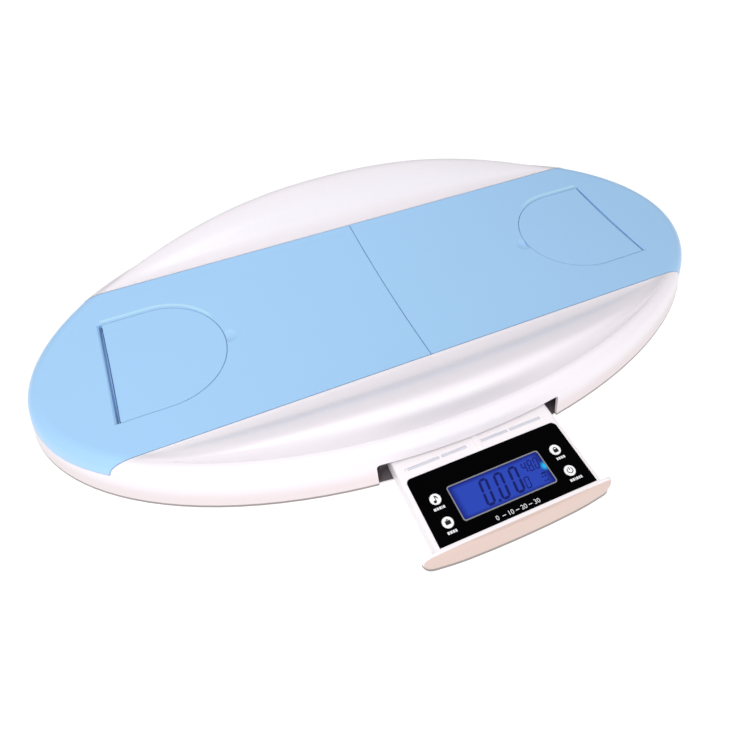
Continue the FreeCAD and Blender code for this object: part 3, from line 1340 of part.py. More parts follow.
def make_drawer_rails():
    """Rails on the base plate with a closed groove for the drawer's runners."""
    reach = f"({DRAWER_HALF} + rail_side_gap)"
    for hand, side in (("left", "-"), ("right", "")):
        low = f"-{reach} - drawer_rail_width" if side else reach
        slot = f"-{reach} - {RAIL_SLOT}" if side else f"{reach} - 1"
        rail = box(f"drawer_rail_block_{hand}", "drawer_rail_width",
                   f"runner_length + drawer_travel + 2 * (rail_wall + rail_play)",
                   "rim_drop - rail_drop", low,
                   f"{DRAWER_BACK_Y} - runner_length - rail_play - rail_wall", BASE_TOP)
        groove = box(f"drawer_rail_groove_{hand}", f"{RAIL_SLOT} + 1",
                     "runner_length + drawer_travel + 2 * rail_play",
                     "runner_thickness + 2 * rail_play", slot,
                     f"{DRAWER_BACK_Y} - runner_length - rail_play",
                     "-runner_drop - runner_thickness - rail_play")
        named(cut(f"drawer_rail_cut_{hand}", rail, groove), f"drawer_rail_{hand}")


# ---------------------------------------------------------------- build and write

def build():
    make_upper_shell()
    make_tray_halves()
    make_flaps()
    make_pinion()
    make_racks()
    make_rack_cover()
    make_encoder()
    make_chassis()
    make_slide_rails()
    make_deck_screws()
    make_base_plate()
    make_case_screws()
    make_feet()
    make_batteries()
    make_battery_door()
    make_main_board()
    make_speaker()
    make_drawer_front()
    make_drawer_tray()
    make_drawer_bezel()
    make_display()
    make_keys()
    make_drawer_rails()


def check_and_write():
    """Stop on any failed object or bad shape, then write one STEP file per sub-part."""
    doc.recompute()
    for thing in doc.Objects:
        if {"Invalid", "Error"} & set(thing.State):
            raise RuntimeError(f"{thing.Name} failed: {thing.State}")
    for part in finished:
        if part.Shape.isNull() or not part.Shape.isValid():
            raise RuntimeError(f"{part.Label} has no valid shape")
    os.makedirs("parts", exist_ok=True)
    for part in finished:
        part.Shape.exportStep(f"parts/{part.Label}.step")


build()
check_and_write()
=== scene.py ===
"""Looks of the baby weighing scale: plastics, display, key symbols, print, light and camera.

Lengths are metres in the row frame, and a number times MM is a length in millimetres. Materials use object
coordinates, which are the same as row coordinates while the part is at rest.
The print is generic: seven-segment digits, a plain number scale, index blocks and usual key symbols.
"""

import json
import math

import bmesh
import bpy
from mathutils import Matrix, Vector


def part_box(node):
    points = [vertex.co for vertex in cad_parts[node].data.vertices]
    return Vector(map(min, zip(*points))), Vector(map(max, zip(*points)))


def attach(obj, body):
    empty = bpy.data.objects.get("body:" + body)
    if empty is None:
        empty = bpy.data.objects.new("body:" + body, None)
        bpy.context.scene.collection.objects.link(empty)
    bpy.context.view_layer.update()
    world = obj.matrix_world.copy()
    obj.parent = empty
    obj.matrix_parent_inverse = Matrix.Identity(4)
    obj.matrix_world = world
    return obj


MM = 0.001
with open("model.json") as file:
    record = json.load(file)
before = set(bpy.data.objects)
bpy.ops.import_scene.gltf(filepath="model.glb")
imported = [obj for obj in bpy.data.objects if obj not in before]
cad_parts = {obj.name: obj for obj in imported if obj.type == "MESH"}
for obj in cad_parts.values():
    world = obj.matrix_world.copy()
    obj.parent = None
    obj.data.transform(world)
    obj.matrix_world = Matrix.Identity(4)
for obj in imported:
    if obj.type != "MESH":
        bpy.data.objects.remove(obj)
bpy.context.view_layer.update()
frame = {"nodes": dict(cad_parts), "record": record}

PANEL_LOW, PANEL_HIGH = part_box("display_panel")
LCD_LOW, LCD_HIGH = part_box("lcd_screen")
LCD_MIDDLE = ((LCD_LOW.x + LCD_HIGH.x) / 2, (LCD_LOW.y + LCD_HIGH.y) / 2)
SHELL_LOW, SHELL_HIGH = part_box("upper_shell")
LIP_LOW, LIP_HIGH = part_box("drawer_front")


# ---------------------------------------------------------------- places that the plastics paint

# Middle of the shell's box in Y, which the crease's painted shade and the wells' painted highlights are set
# out from.
# The drawer's mouth cuts the shell's front short, so this lies about 2.7 mm behind the middle of the body
# itself.
PAINT_MIDDLE = (SHELL_LOW.y + SHELL_HIGH.y) / 2

# The painted shade of the crease outside the side wings follows an ellipse round that middle. It is strongest
# at
# CREASE_LEVEL times these half axes, and has faded CREASE_FADE times them to either side.
CREASE_REACH = (291 * MM, 149.3 * MM)
CREASE_LEVEL = 1.012
CREASE_FADE = 0.04

# Between these levels the lower walls turn to a duller, warmer painted shade,
# which ends in a painted shadow line at the base.
BAND_TOP = 32 * MM
BAND_BOTTOM = 18 * MM
SHADOW_LINE_TOP = SHELL_LOW.z + 2.4 * MM

# Painted shade on the floor in the drawer's mouth: half its width, and the line in Y that it starts in front
# of.
MOUTH_HALF = 95 * MM
MOUTH_BACK = -84 * MM

# The painted shade in the grooves of the drawer's cover reaches this far to either side of the middle.
GROOVES_HALF = 58 * MM

# Slot at a board's hinge edge, by distance from the body's middle: a dark line of painted shade, then a wall
# painted pale, painted light that lifts the shade in it.
SLOT_START = 240 * MM
SLOT_WALL = 242 * MM
SLOT_END = 245 * MM
SLOT_TOP = 38.5 * MM

# Painted highlight, a pale line a few millimetres outside the back half of each board's well: part of a half
# circle, and the straight line that it runs on in. It starts this far behind PAINT_MIDDLE on the left end of
# the strip, and twice as far on the right.
WELL_CENTRE = 200.9 * MM
WELL_RADIUS = 53.5 * MM
WELL_HIGHLIGHT_WIDTH = 2.9 * MM
WELL_HIGHLIGHT_START = 22 * MM


# ---------------------------------------------------------------- colours

def linear(red, green, blue):
    """Display colour from 0 to 255 as a linear RGBA."""
    def part(value):
        value /= 255
        return value / 12.92 if value <= 0.04045 else ((value + 0.055) / 1.055) ** 2.4
    return (part(red), part(green), part(blue), 1.0)


def shade(colour, factor):
    """Colour made lighter or darker."""
    return tuple(min(1.0, part * factor) for part in colour[:3]) + (1.0,)


SHELL = linear(246, 240, 246)
# Painted shade for the crease round the side wings.
SHELL_CREASE_SHADE = shade(SHELL, 0.86)
# Painted shade on the body's lower walls, a duller and warmer white.
SHELL_LOW_SHADE = linear(232, 220, 223)
# Painted shadow line where the body meets the base, and along the lower edge of the drawer's lip.
SHADOW_LINE = linear(146, 137, 134)
BASE = linear(226, 224, 228)
# Painted shade for the floor in the drawer's mouth.
MOUTH_SHADE = linear(90, 82, 86)
DRAWER = linear(250, 244, 247)
GROOVE_SHADE = linear(220, 220, 230)
LIP = linear(221, 197, 188)
TRAY = linear(168, 212, 252)
SLOT_PAINTED_LIGHT = linear(192, 226, 255)
SLOT_PAINTED_SHADE = linear(50, 96, 150)
# Painted highlight behind the back edges of the wells.
WELL_HIGHLIGHT = linear(188, 230, 254)


# ---------------------------------------------------------------- node materials

class Shader:
    """A node material around one Principled shader, in object coordinates."""

    def __init__(self, name):
        self.material = bpy.data.materials.new(name)
        self.material.use_nodes = True
        self.nodes = self.material.node_tree.nodes
        self.links = self.material.node_tree.links
        self.surface = self.nodes["Principled BSDF"]
        self.place = self.nodes.new("ShaderNodeTexCoord").outputs["Object"]

    def set(self, **values):
        """Set inputs of the surface, named with _ for a space."""
        for name, value in values.items():
            self.surface.inputs[name.replace("_", " ")].default_value = value

    def new(self, kind, **settings):
        """Add a node with its settings."""
        node = self.nodes.new(kind)
        for name, value in settings.items():
            setattr(node, name, value)
        return node

    def join(self, out, socket):
        """Link an output to an input."""
        self.links.new(out, socket)

    def paint(self, name, out):
        """Link an output to an input of the surface."""
        self.join(out, self.surface.inputs[name])

    def noise(self, size, detail=3.0, stretch=None):
        """Noise whose features are about size across."""
        node = self.new("ShaderNodeTexNoise")
        node.inputs["Scale"].default_value = 1 / size
        node.inputs["Detail"].default_value = detail
        source = self.place
        if stretch:
            scale = self.new("ShaderNodeMapping")
            scale.inputs["Scale"].default_value = stretch
            self.join(source, scale.inputs["Vector"])
            source = scale.outputs["Vector"]
        self.join(source, node.inputs["Vector"])
        return node.outputs["Fac"]

    def spread(self, value, low, high):
        """Map a 0 to 1 value to a range."""
        node = self.new("ShaderNodeMapRange")
        node.inputs["To Min"].default_value = low
        node.inputs["To Max"].default_value = high
        self.join(value, node.inputs["Value"])
        return node.outputs["Result"]

    def tint(self, value, first, second):
        """Blend two colours by a 0 to 1 value."""
        node = self.new("ShaderNodeMix", data_type="RGBA")
        node.inputs["A"].default_value = first
        node.inputs["B"].default_value = second
        self.join(value, node.inputs["Factor"])
        return node.outputs["Result"]

    def cover(self, under, mask, colour):
        """Lay a colour over another one where the mask is 1."""
        node = self.new("ShaderNodeMix", data_type="RGBA")
        self.join(mask, node.inputs["Factor"])
        self.join(under, node.inputs["A"])
        node.inputs["B"].default_value = colour
        return node.outputs["Result"]

    def overlay(self, mask, colour):
        """Lay a colour over the surface's present one where the mask is 1."""
        under = self.surface.inputs["Base Color"].links[0].from_socket
        self.paint("Base Color", self.cover(under, mask, colour))

    def along(self, axis):
        """One of the object coordinates."""
        node = self.new("ShaderNodeSeparateXYZ")
        self.join(self.place, node.inputs["Vector"])
        return node.outputs[axis]

    def math(self, operation, first, second=None):
        """Result of a Math node on sockets, or on a socket and a float."""
        node = self.new("ShaderNodeMath", operation=operation)
        self.join(first, node.inputs[0])
        if isinstance(second, float):
            node.inputs[1].default_value = second
        elif second is not None:
            self.join(second, node.inputs[1])
        return node.outputs["Value"]

    def length(self, vector):
        """Length of a vector."""
        node = self.new("ShaderNodeVectorMath", operation="LENGTH")
        self.join(vector, node.inputs[0])
        return node.outputs["Value"]

    def ramp(self, value, start, end, kind="SMOOTHSTEP"):
        """0 at start rising smoothly to 1 at end."""
        node = self.new("ShaderNodeMapRange", interpolation_type=kind)
        node.inputs["From Min"].default_value = start
        node.inputs["From Max"].default_value = end
        self.join(value, node.inputs["Value"])
        return node.outputs["Result"]

    def within(self, axis, low, high, soft):
        """1 between two coordinates, falling to 0 over soft at both ends."""
        offset = self.math("SUBTRACT", self.along(axis), (low + high) / 2)
        half = (high - low) / 2
        return self.ramp(self.math("ABSOLUTE", offset), half, half - soft)

    def all_of(self, mask, *others):
        """Product of masks."""
        for other in others:
            mask = self.math("MULTIPLY", mask, other)
        return mask

    def bumps(self, value, height, edge=0.0):
        """Surface relief of a height, over edges softened by a radius."""
        node = self.new("ShaderNodeBump")
        node.inputs["Strength"].default_value = 1.0
        node.inputs["Distance"].default_value = height
        self.join(value, node.inputs["Height"])
        if edge:
            bevel = self.new("ShaderNodeBevel", samples=4)
            bevel.inputs["Radius"].default_value = edge
            self.join(bevel.outputs["Normal"], node.inputs["Normal"])
        self.paint("Normal", node.outputs["Normal"])


def plastic(name, colour, rough, relief=0.004 * MM, edge=0.35 * MM, vary=0.02):
    """Shader of injection-moulded plastic: faint tone drift, satin gloss and a fine skin."""
    shader = Shader(name)
    drift = shader.noise(90 * MM, detail=2.0)
    shader.paint("Base Color", shader.tint(drift, shade(colour, 1 - vary), shade(colour, 1 + vary)))
    shader.paint("Roughness", shader.spread(shader.noise(25 * MM), rough * 0.85, rough * 1.15))
    shader.bumps(shader.noise(0.6 * MM, detail=2.0), relief, edge)
    shader.set(IOR=1.5)
    return shader


def moulded(name, colour, rough, **finish):
    """Material of injection-moulded plastic with nothing painted on it."""
    return plastic(name, colour, rough, **finish).material


def shell_plastic():
    """White body plastic, with painted shade in the crease round the wings and on its duller lower walls, and
    a painted shadow line at the base.
    """
    shader = plastic("shell_white", SHELL, rough=0.30)
    oval = shader.new("ShaderNodeMapping")
    oval.inputs["Location"].default_value = (0, -PAINT_MIDDLE / CREASE_REACH[1], 0)
    oval.inputs["Scale"].default_value = (1 / CREASE_REACH[0], 1 / CREASE_REACH[1], 0)
    shader.join(shader.place, oval.inputs["Vector"])
    from_crease = shader.math("SUBTRACT", shader.length(oval.outputs["Vector"]), CREASE_LEVEL)
    # Painted shade along the crease outside the side wings.
    shader.overlay(shader.ramp(shader.math("ABSOLUTE", from_crease), CREASE_FADE, 0.0), SHELL_CREASE_SHADE)
    height = shader.along("Z")
    # Painted shade on the walls below BAND_TOP.
    shader.overlay(shader.ramp(height, BAND_TOP, BAND_BOTTOM), SHELL_LOW_SHADE)
    # Painted shadow line at the base.
    shader.overlay(shader.ramp(height, SHADOW_LINE_TOP, SHADOW_LINE_TOP - 1 * MM), SHADOW_LINE)
    return shader.material


def base_plastic():
    """Matt base plastic, with a painted grey shade on the floor of the drawer's mouth."""
    shader = plastic("base_white", BASE, rough=0.5, relief=0.01 * MM)
    across = shader.within("X", -MOUTH_HALF, MOUTH_HALF, soft=6 * MM)
    in_front = shader.ramp(shader.along("Y"), MOUTH_BACK, MOUTH_BACK - 8 * MM)
    on_top = shader.ramp(shader.along("Z"), SHELL_LOW.z - 1.0 * MM, SHELL_LOW.z - 0.5 * MM)
    # Painted shade over the floor of the drawer's mouth.
    shader.overlay(shader.all_of(across, in_front, on_top), MOUTH_SHADE)
    return shader.material


def cover_plastic():
    """White drawer plastic with a painted bluish shade down in the two grooves of its cover."""
    shader = plastic("drawer_white", DRAWER, rough=0.32)
    across = shader.within("X", -GROOVES_HALF, GROOVES_HALF, soft=1 * MM)
    behind = shader.ramp(shader.along("Y"), PANEL_HIGH.y + 1 * MM, PANEL_HIGH.y + 1.5 * MM)
    down = shader.ramp(shader.along("Z"), PANEL_HIGH.z, PANEL_HIGH.z - 0.3 * MM)
    # Painted shade down in the grooves.
    shader.overlay(shader.all_of(across, behind, down), GROOVE_SHADE)
    return shader.material


def lip_plastic():
    """Creamy drawer lip, white where it meets the cover, with a painted grey shadow line along its lower
    edge.
    """
    shader = plastic("lip_cream", LIP, rough=0.4)
    cover = LIP_HIGH.y - 1.8 * MM
    shader.overlay(shader.ramp(shader.along("Y"), cover - 0.8 * MM, cover), DRAWER)
    # Painted shadow: a grey line along the lip's lower edge.
    grey = LIP_LOW.z + 1.8 * MM
    shader.overlay(shader.ramp(shader.along("Z"), grey + 1.4 * MM, grey), SHADOW_LINE)
    return shader.material


def tray_plastic():
    """Pale blue tray plastic, with painted shade under the boards' hinge edges, painted light on the slots'
    walls, and painted highlights along the wells.
    """
    shader = plastic("tray_blue", TRAY, rough=0.33, vary=0.012, edge=1.1 * MM)
    out = shader.math("ABSOLUTE", shader.along("X"))
    down = shader.ramp(shader.along("Z"), SLOT_TOP, SLOT_TOP - 1 * MM)
    soft = 0.2 * MM
    # Painted light on the slot's outer wall, against the shade that falls in it.
    on_wall = shader.ramp(out, SLOT_WALL - soft / 2, SLOT_WALL + soft / 2)
    before_end = shader.ramp(out, SLOT_END, SLOT_END - soft)
    shader.overlay(shader.all_of(on_wall, before_end, down), SLOT_PAINTED_LIGHT)
    # Painted shade in the slot's dark line beside the board's hinge edge.
    before_wall = shader.ramp(out, SLOT_WALL + soft / 2, SLOT_WALL - soft / 2)
    past_start = shader.ramp(out, SLOT_START, SLOT_START + soft)
    shader.overlay(shader.all_of(before_wall, past_start, down), SLOT_PAINTED_SHADE)
    # Painted highlight behind the back edge of each well.
    shader.overlay(well_highlight(shader, out, soft), WELL_HIGHLIGHT)
    return shader.material


def well_highlight(shader, out, soft):
    """Mask of the painted highlights outside the wells' back edges; out is the distance from the middle in X.
    """
    side = shader.math("SUBTRACT", shader.along("Y"), PAINT_MIDDLE)
    before_centre = shader.math("MINIMUM", shader.math("SUBTRACT", out, WELL_CENTRE), 0.0)
    reach = shader.new("ShaderNodeCombineXYZ")
    shader.join(before_centre, reach.inputs["X"])
    shader.join(side, reach.inputs["Y"])
    distance = shader.length(reach.outputs["Vector"])
    end = WELL_RADIUS + WELL_HIGHLIGHT_WIDTH
    inside_end = shader.ramp(distance, end, end - 1.4 * MM)
    past_edge = shader.ramp(distance, WELL_RADIUS, WELL_RADIUS + soft)
    on_right = shader.math("GREATER_THAN", shader.along("X"), 0.0)
    behind = shader.math("SUBTRACT", side, shader.math("MULTIPLY", on_right, WELL_HIGHLIGHT_START))
    past_start = shader.ramp(behind, WELL_HIGHLIGHT_START, WELL_HIGHLIGHT_START + 10 * MM)
    before_slot = shader.ramp(out, SLOT_WALL, SLOT_START)
    return shader.all_of(inside_end, past_edge, past_start, before_slot)


def metal(name, colour, rough, stretch=(1, 1, 1)):
    """Metal with fine scratches, which a stretch draws out along one direction."""
    shader = Shader(name)
    scratches = shader.noise(0.5 * MM, 4.0, stretch)
    shader.paint("Base Color", shader.tint(scratches, shade(colour, 0.9), shade(colour, 1.05)))
    shader.paint("Roughness", shader.spread(scratches, rough * 0.8, rough * 1.2))
    shader.bumps(scratches, 0.003 * MM, edge=0.1 * MM)
    shader.set(Metallic=1.0)
    return shader.material


def gloss_black():
    """Polished black window panel with faint dust in its gloss."""
    shader = Shader("panel_black")
    dust = shader.noise(3 * MM, detail=5.0)
    shader.paint("Base Color", shader.tint(dust, linear(0, 0, 1), linear(3, 3, 4)))
    shader.paint("Roughness", shader.spread(dust, 0.10, 0.16))
    shader.set(Specular_IOR_Level=0.03)
    shader.bumps(shader.noise(40 * MM, detail=1.0), 0.01 * MM, edge=0.2 * MM)
    return shader.material


def lit_display():
    """Blue backlit display, darker towards its frame, with a painted cyan glint glowing at its right edge."""
    shader = Shader("lcd_blue")
    rim = 1.5 * MM
    across = shader.within("X", LCD_LOW.x + rim, LCD_HIGH.x - rim, soft=7 * MM)
    upright = shader.within("Y", LCD_LOW.y + rim, LCD_HIGH.y - rim, soft=4 * MM)
    field = shader.tint(shader.all_of(across, upright), linear(18, 32, 122), linear(42, 70, 180))
    # Painted glint: a small cyan glow at the display's right edge.
    glint_place = (LCD_HIGH.x - 2.2 * MM, LCD_MIDDLE[1] + 1.0 * MM, LCD_HIGH.z)
    glow = point_fade(shader, glint_place, reach=5 * MM)
    shader.paint("Emission Color", shader.cover(field, glow, linear(40, 190, 255)))
    shader.set(Base_Color=linear(4, 8, 40), Emission_Strength=1.0, Roughness=0.18, Specular_IOR_Level=0.15)
    shader.bumps(shader.noise(0.4 * MM), 0.002 * MM)
    return shader.material


def point_fade(shader, glint_place, reach):
    """1 at a point, falling smoothly to 0 at a distance."""
    distance = shader.new("ShaderNodeVectorMath", operation="DISTANCE")
    shader.join(shader.place, distance.inputs[0])
    distance.inputs[1].default_value = glint_place
    return shader.ramp(distance.outputs["Value"], reach, 0.0, kind="SMOOTHERSTEP")


def plain_ink(name, colour):
    """Printing ink with a slightly uneven tone and gloss."""
    shader = Shader(name)
    grain = shader.noise(0.3 * MM)
    rough = 0.35
    shader.paint("Base Color", shader.tint(grain, shade(colour, 0.94), colour))
    shader.paint("Roughness", shader.spread(grain, rough * 0.9, rough * 1.1))
    return shader.material


def lcd_ink():
    """Dark liquid-crystal segments with a little of the backlight showing through."""
    shader = Shader("lcd_ink")
    grain = shader.noise(0.3 * MM)
    shader.paint("Base Color", shader.tint(grain, linear(5, 8, 30), linear(7, 10, 34)))
    shader.paint("Emission Color", shader.tint(grain, linear(20, 28, 98), linear(24, 33, 108)))
    shader.paint("Roughness", shader.spread(grain, 0.3, 0.4))
    shader.set(Emission_Strength=1.0, Specular_IOR_Level=0.05)
    return shader.material


def circuit_board():
    """Green solder mask over faint copper tracks."""
    shader = Shader("board_green")
    tracks = shader.new("ShaderNodeTexBrick")
    tracks.inputs["Scale"].default_value = 1 / (3 * MM)
    tracks.inputs["Color1"].default_value = linear(14, 92, 50)
    tracks.inputs["Color2"].default_value = linear(18, 104, 58)
    tracks.inputs["Mortar"].default_value = linear(40, 130, 72)
    tracks.inputs["Mortar Size"].default_value = 0.04
    shader.join(shader.place, tracks.inputs["Vector"])
    shader.paint("Base Color", tracks.outputs["Color"])
    shader.bumps(tracks.outputs["Fac"], 0.02 * MM)
    shader.set(Roughness=0.35)
    return shader.material


MATERIALS = {
    "shell_white": shell_plastic(),
    "drawer_white": cover_plastic(),
    "tray_blue": tray_plastic(),
    "base_white": base_plastic(),
    "gear_white": moulded("gear_white", linear(224, 226, 228), rough=0.42),
    "steel": metal("steel", linear(190, 190, 190), rough=0.32, stretch=(1, 6, 1)),
    "cell_metal": metal("cell_metal", linear(205, 205, 208), rough=0.36, stretch=(8, 1, 1)),
    "foot_grey": moulded("foot_grey", linear(170, 170, 174), rough=0.5, relief=0.01 * MM),
    "pad_rubber": moulded("pad_rubber", linear(84, 84, 88), rough=0.8, relief=0.03 * MM, vary=0.06),
    "battery_wrap": moulded("battery_wrap", linear(60, 84, 150), rough=0.3),
    "board_green": circuit_board(),
    "switch_black": moulded("switch_black", linear(34, 34, 38), rough=0.45),
    "panel_black": gloss_black(),
    "frame_silver": metal("frame_silver", linear(206, 206, 210), rough=0.22),
    "lcd_blue": lit_display(),
    "key_white": moulded("key_white", linear(252, 252, 254), rough=0.28, edge=0.15 * MM),
}
LIP_CREAM = lip_plastic()
LCD_INK = lcd_ink()
KEY_INK = plain_ink("key_ink", linear(12, 12, 14))
PRINT_INK = plain_ink("print_ink", linear(236, 236, 240))


def dress_cad():
    """Give every CAD node the material of its slot, and the drawer's lip its own."""
    slots = {entry["node"]: entry["material_slot"] for entry in frame["record"]["subparts"]}
    for name, node in frame["nodes"].items():
        node.data.materials.clear()
        node.data.materials.append(LIP_CREAM if name == "drawer_front" else MATERIALS[slots[name]])


# ---------------------------------------------------------------- flat printed shapes

PRINT_THICKNESS = 0.04 * MM
PRINT_GAP = 0.005 * MM


def add_piece(name, mesh, material, body):
    """Make an object of a mesh, ready to ride on a body."""
    mesh.materials.append(material)
    piece = bpy.data.objects.new(name, mesh)
    bpy.context.collection.objects.link(piece)
    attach(piece, body)


def add_print(name, drawn, material, body):
    """Make a piece of the plates in a bmesh."""
    mesh = bpy.data.meshes.new(name)
    drawn.to_mesh(mesh)
    drawn.free()
    add_piece(name, mesh, material, body)


def add_plate(drawn, outline, level):
    """Add a thin flat plate with that outline, standing on a level."""
    low = [drawn.verts.new((x, y, level)) for x, y in outline]
    high = [drawn.verts.new((x, y, level + PRINT_THICKNESS)) for x, y in outline]
    drawn.faces.new(high)
    drawn.faces.new(list(reversed(low)))
    for k in range(len(outline)):
        after = (k + 1) % len(outline)
        drawn.faces.new((low[k], low[after], high[after], high[k]))


def arc(x, y, radius, start, end, steps):
    """Points along an arc, angles in degrees."""
    turns = [math.radians(start + (end - start) * k / steps) for k in range(steps + 1)]
    return [(x + radius * math.cos(turn), y + radius * math.sin(turn)) for turn in turns]


def ring(x, y, radius, width, start, end, steps):
    """Outline of an arc-shaped band."""
    outer = arc(x, y, radius + width / 2, start, end, steps)
    inner = arc(x, y, radius - width / 2, end, start, steps)
    return outer + inner


def bar(x0, x1, y0, y1):
    """Outline of a rectangle."""
    return [(x0, y0), (x1, y0), (x1, y1), (x0, y1)]


def in_metres(outline, x, y):
    """Outline in millimetres round a point, as an outline in metres."""
    return [(x + a * MM, y + b * MM) for a, b in outline]


# ---------------------------------------------------------------- display digits

SEGMENTS = {"0": "abcdef", "4": "fgbc", "8": "abcdefg"}
LCD_SLANT = 0.15
LCD_LEVEL = LCD_HIGH.z + 0.01 * MM

# Weight, length and memory count, in millimetres: the digits, the first one's lower left corner from the
# window's middle, width and height of a digit, its stroke, and the step to the next digit.
LCD_NUMBERS = [
    ("000", (-17.6, -10.8), (7.4, 21.0), 2.0, 12.1),
    ("480", (19.6, 0.8), (3.8, 9.2), 0.9, 5.0),
    ("0", (15.4, -10.2), (4.3, 9.2), 0.9, 0.0),
]

# Two decimal points and five plain unit marks, in millimetres: lower left corner from the window's middle,
# width and height.
LCD_MARKS = [
    (-8.2, -10.8, 2.0, 2.0), (28.3, 0.8, 0.8, 0.8),
    (30.6, -4.2, 3.6, 1.2), (29.8, -6.6, 1.2, 1.2), (32.0, -6.6, 1.2, 1.2),
    (30.0, -10.0, 1.2, 1.2), (32.2, -10.0, 1.2, 1.2),
]


def segment_outlines(width, height, stroke):
    """Seven segments of a digit with mitred ends, from its lower left corner."""
    gap = stroke * 0.05
    mid = height / 2
    half = stroke / 2

    def level(y):
        ends = [(half + gap, y), (stroke + gap, y + half), (width - stroke - gap, y + half)]
        back = [(width - half - gap, y), (width - stroke - gap, y - half), (stroke + gap, y - half)]
        return ends + back

    def standing(x, low, high):
        right = [(x, low + gap), (x + half, low + half + gap), (x + half, high - half - gap)]
        left = [(x, high - gap), (x - half, high - half - gap), (x - half, low + half + gap)]
        return right + left

    return {
        "a": level(height - half), "g": level(mid), "d": level(half),
        "f": standing(half, mid, height - half), "b": standing(width - half, mid, height - half),
        "e": standing(half, half, mid), "c": standing(width - half, half, mid),
    }


def display_digits():
    """Weight in large digits, length and memory count in small ones, with plain unit marks."""
    outlines = []
    for digits, (left, low), (width, height), stroke, step in LCD_NUMBERS:
        shapes = segment_outlines(width, height, stroke)
        for k, digit in enumerate(digits):
            corner = left + step * k
            for name in SEGMENTS[digit]:
                outlines.append([(corner + x + LCD_SLANT * y, low + y) for x, y in shapes[name]])
    for left, low, width, height in LCD_MARKS:
        outlines.append(bar(left, left + width, low, low + height))
    drawn = bmesh.new()
    for outline in outlines:
        add_plate(drawn, in_metres(outline, *LCD_MIDDLE), LCD_LEVEL)
    add_print("lcd_digits", drawn, LCD_INK, "drawer")


# ---------------------------------------------------------------- key symbols

def key_middle(node):
    """Middle of a key, with the level of its top."""
    low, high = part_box(node)
    return (low.x + high.x) / 2, (low.y + high.y) / 2, high.z


def symbol(node, body, outlines):
    """Printed symbol on top of a key; outlines are in millimetres round its middle."""
    x, y, top = key_middle(node)
    drawn = bmesh.new()
    for outline in outlines:
        add_plate(drawn, in_metres(outline, x, y), top + PRINT_GAP)
    add_print(node + "_symbol", drawn, KEY_INK, body)


def key_symbols():
    """Music note, tare box, padlock and power sign."""
    symbol("key_melody", "melody", [
        arc(-1.0, -2.0, 1.15, 0, 342, steps=18),
        bar(-0.35, 0.2, -1.9, 2.6),
        [(0.2, 2.6), (0.2, 1.2), (1.1, 0.6), (1.5, -0.6), (2.0, 0.4), (1.5, 1.5)],
    ])
    symbol("key_tare", "tare", [
        bar(-2.0, 2.0, -1.8, 1.2),
        bar(-0.8, 0.8, 1.4, 2.1),
    ])
    symbol("key_hold", "hold", [
        bar(-1.9, 1.9, -2.4, 0.4),
        ring(0, 0.4, 1.3, 0.7, 0, 180, steps=16),
    ])
    symbol("key_power", "power", [
        ring(0, -0.1, 2.1, 0.6, 120, 420, steps=28),
        bar(-0.3, 0.3, 0.2, 2.7),
    ])


# ---------------------------------------------------------------- panel print

# Index blocks by the keys, in millimetres: the shift of a row from its key's middle, and its blocks' widths.
KEY_BLOCKS = [
    ("key_melody", -0.4, (1.8, 1.4, 1.5, 0.6, 1.4)), ("key_tare", -0.2, (1.5, 1.6, 1.4, 1.3)),
    ("key_hold", 0.2, (1.2, 1.5, 1.4, 1.5)), ("key_power", 0.6, (1.6, 1.5, 0.6, 1.6, 1.2, 1.2)),
]
BLOCKS_DROP = 7.2
BLOCK_GAP = 0.45
BLOCK_HALF_HEIGHT = 1.0

# Number scale in front of the window, with a dash between each two numbers.
SCALE_NUMBERS = ("0", "10", "20", "30")
SCALE_PITCH = 10.6 * MM
SCALE_MARGIN = 3.4 * MM
NUMBER_HEIGHT = 3.5 * MM
FONT_SIZE_PER_HEIGHT = 1.38
DASH = bar(-1.4, 1.4, -0.25, 0.25)


def centred(count, pitch):
    """Offsets of places at a pitch, centred on 0."""
    return [(k - (count - 1) / 2) * pitch for k in range(count)]


def add_number(name, text, x, y, level):
    """Flat number as a mesh, centred on a point."""
    curve = bpy.data.curves.new(name, "FONT")
    curve.body = text
    curve.size = NUMBER_HEIGHT * FONT_SIZE_PER_HEIGHT
    curve.align_x = "CENTER"
    curve.align_y = "CENTER"
    curve.extrude = PRINT_THICKNESS / 2
    source = bpy.data.objects.new(name + "_curve", curve)
    bpy.context.collection.objects.link(source)
    bpy.context.view_layer.update()
    mesh = bpy.data.meshes.new_from_object(source.evaluated_get(bpy.context.evaluated_depsgraph_get()))
    bpy.data.objects.remove(source)
    mesh.transform(Matrix.Translation((x, y, level + PRINT_THICKNESS / 2)))
    mesh.materials.clear()
    add_piece(name, mesh, PRINT_INK, "drawer")


def block_row(widths):
    """Outlines of a row of plain blocks in millimetres, centred on 0."""
    row = []
    left = -(sum(widths) + BLOCK_GAP * (len(widths) - 1)) / 2
    for width in widths:
        row.append(bar(left, left + width, -BLOCK_HALF_HEIGHT, BLOCK_HALF_HEIGHT))
        left += width + BLOCK_GAP
    return row


def panel_print():
    """Plain index blocks by the keys, and a number scale in front of the window."""
    level = PANEL_HIGH.z + PRINT_GAP
    drawn = bmesh.new()
    for node, shift, widths in KEY_BLOCKS:
        x, y, _ = key_middle(node)
        for block in block_row(widths):
            add_plate(drawn, in_metres(block, x + shift * MM, y - BLOCKS_DROP * MM), level)
    middle = LCD_MIDDLE[0]
    line = PANEL_LOW.y + SCALE_MARGIN
    for offset in centred(len(SCALE_NUMBERS) - 1, SCALE_PITCH):
        add_plate(drawn, in_metres(DASH, middle + offset, line), level)
    add_print("panel_marks", drawn, PRINT_INK, "drawer")
    for k, offset in enumerate(centred(len(SCALE_NUMBERS), SCALE_PITCH)):
        add_number(f"panel_number_{k}", SCALE_NUMBERS[k], middle + offset, line, level)


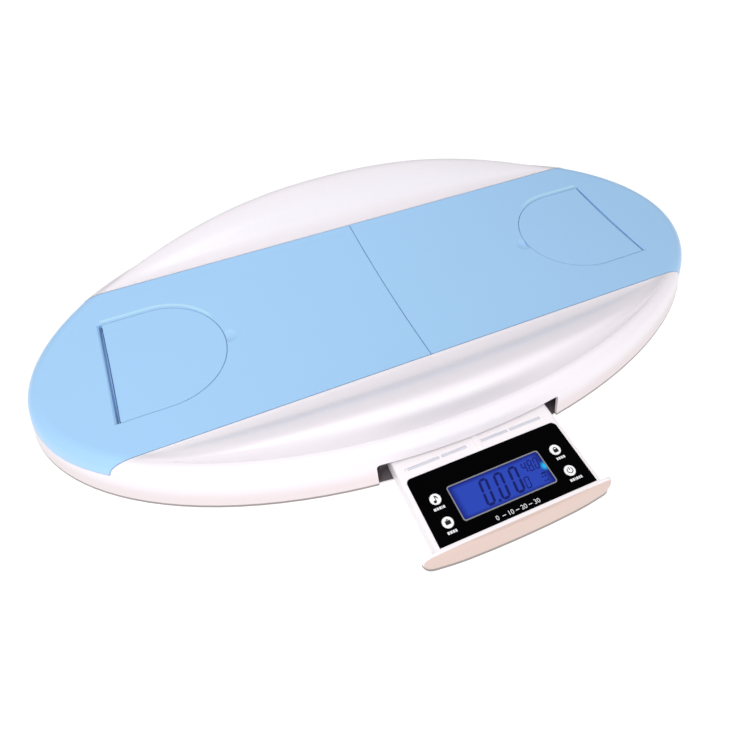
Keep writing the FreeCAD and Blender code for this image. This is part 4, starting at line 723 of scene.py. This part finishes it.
# ---------------------------------------------------------------- stage, light and camera

CAMERA_PLACE = (-0.1574, -0.3071, 0.4038)
CAMERA_RIGHT = Vector((0.91782, -0.39696, -0.00507))
CAMERA_UP = Vector((0.31813, 0.7278, 0.60754))
CAMERA_BACK = Vector((-0.23749, -0.55922, 0.79427))
CAMERA_LENS = 27.78
CAMERA_SENSOR = 36.0

FLOOR_REACH = 40.0
FLOOR_GLOW = 0.94
WORLD_LIGHT = 0.43


def add_camera():
    """Camera at the viewing angle, worked out from the deck's straight edges."""
    data = bpy.data.cameras.new("camera")
    data.lens = CAMERA_LENS
    data.sensor_width = CAMERA_SENSOR
    data.clip_start = 0.01
    camera = bpy.data.objects.new("camera", data)
    turn = Matrix((CAMERA_RIGHT, CAMERA_UP, CAMERA_BACK)).transposed().to_4x4()
    camera.matrix_world = Matrix.Translation(CAMERA_PLACE) @ turn
    bpy.context.collection.objects.link(camera)
    bpy.context.scene.camera = camera


def add_softbox(name, place, aim, size, power):
    """Rectangular soft light that faces a point."""
    data = bpy.data.lights.new(name, "AREA")
    data.shape = "RECTANGLE"
    data.size, data.size_y = size
    data.energy = power
    light = bpy.data.objects.new(name, data)
    light.location = place
    light.rotation_euler = (Vector(aim) - Vector(place)).to_track_quat("-Z", "Y").to_euler()
    bpy.context.collection.objects.link(light)


def add_floor():
    """Large floor under the rubber pads, with a glow of its own that makes it nearly white."""
    shader = Shader("floor_pale")
    tone = shader.noise(0.4, detail=2.0)
    shader.paint("Base Color", shader.tint(tone, (0.15, 0.15, 0.15, 1), (0.17, 0.17, 0.17, 1)))
    shader.set(Roughness=0.9, Specular_IOR_Level=0.0)
    shader.set(Emission_Color=(1, 1, 1, 1), Emission_Strength=FLOOR_GLOW)
    mesh = bpy.data.meshes.new("floor")
    corners = [(x, y, 0) for x, y in bar(-FLOOR_REACH, FLOOR_REACH, -FLOOR_REACH, FLOOR_REACH)]
    mesh.from_pydata(corners, [], [(0, 1, 2, 3)])
    mesh.materials.append(shader.material)
    floor = bpy.data.objects.new("floor", mesh)
    bpy.context.collection.objects.link(floor)


def add_world():
    """Even white light from all round."""
    world = bpy.data.worlds.new("studio")
    world.use_nodes = True
    background = world.node_tree.nodes["Background"]
    background.inputs["Color"].default_value = (1.0, 1.0, 1.0, 1)
    background.inputs["Strength"].default_value = WORLD_LIGHT
    bpy.context.scene.world = world


def add_stage():
    """Floor, world and two soft lights, shown with plain display colours."""
    add_floor()
    add_world()
    add_softbox("key_light", place=(-0.465, -0.434, 1.121), aim=(0, 0, 0), size=(0.8, 0.8), power=9.7)
    add_softbox("front_fill", place=(0.25, -1.25, 0.55), aim=(0, 0, 0.03), size=(1.2, 0.5), power=3.1)
    bpy.context.scene.view_settings.view_transform = "Standard"
    bpy.context.scene.view_settings.look = "None"


dress_cad()
display_digits()
key_symbols()
panel_print()
add_stage()
add_camera()
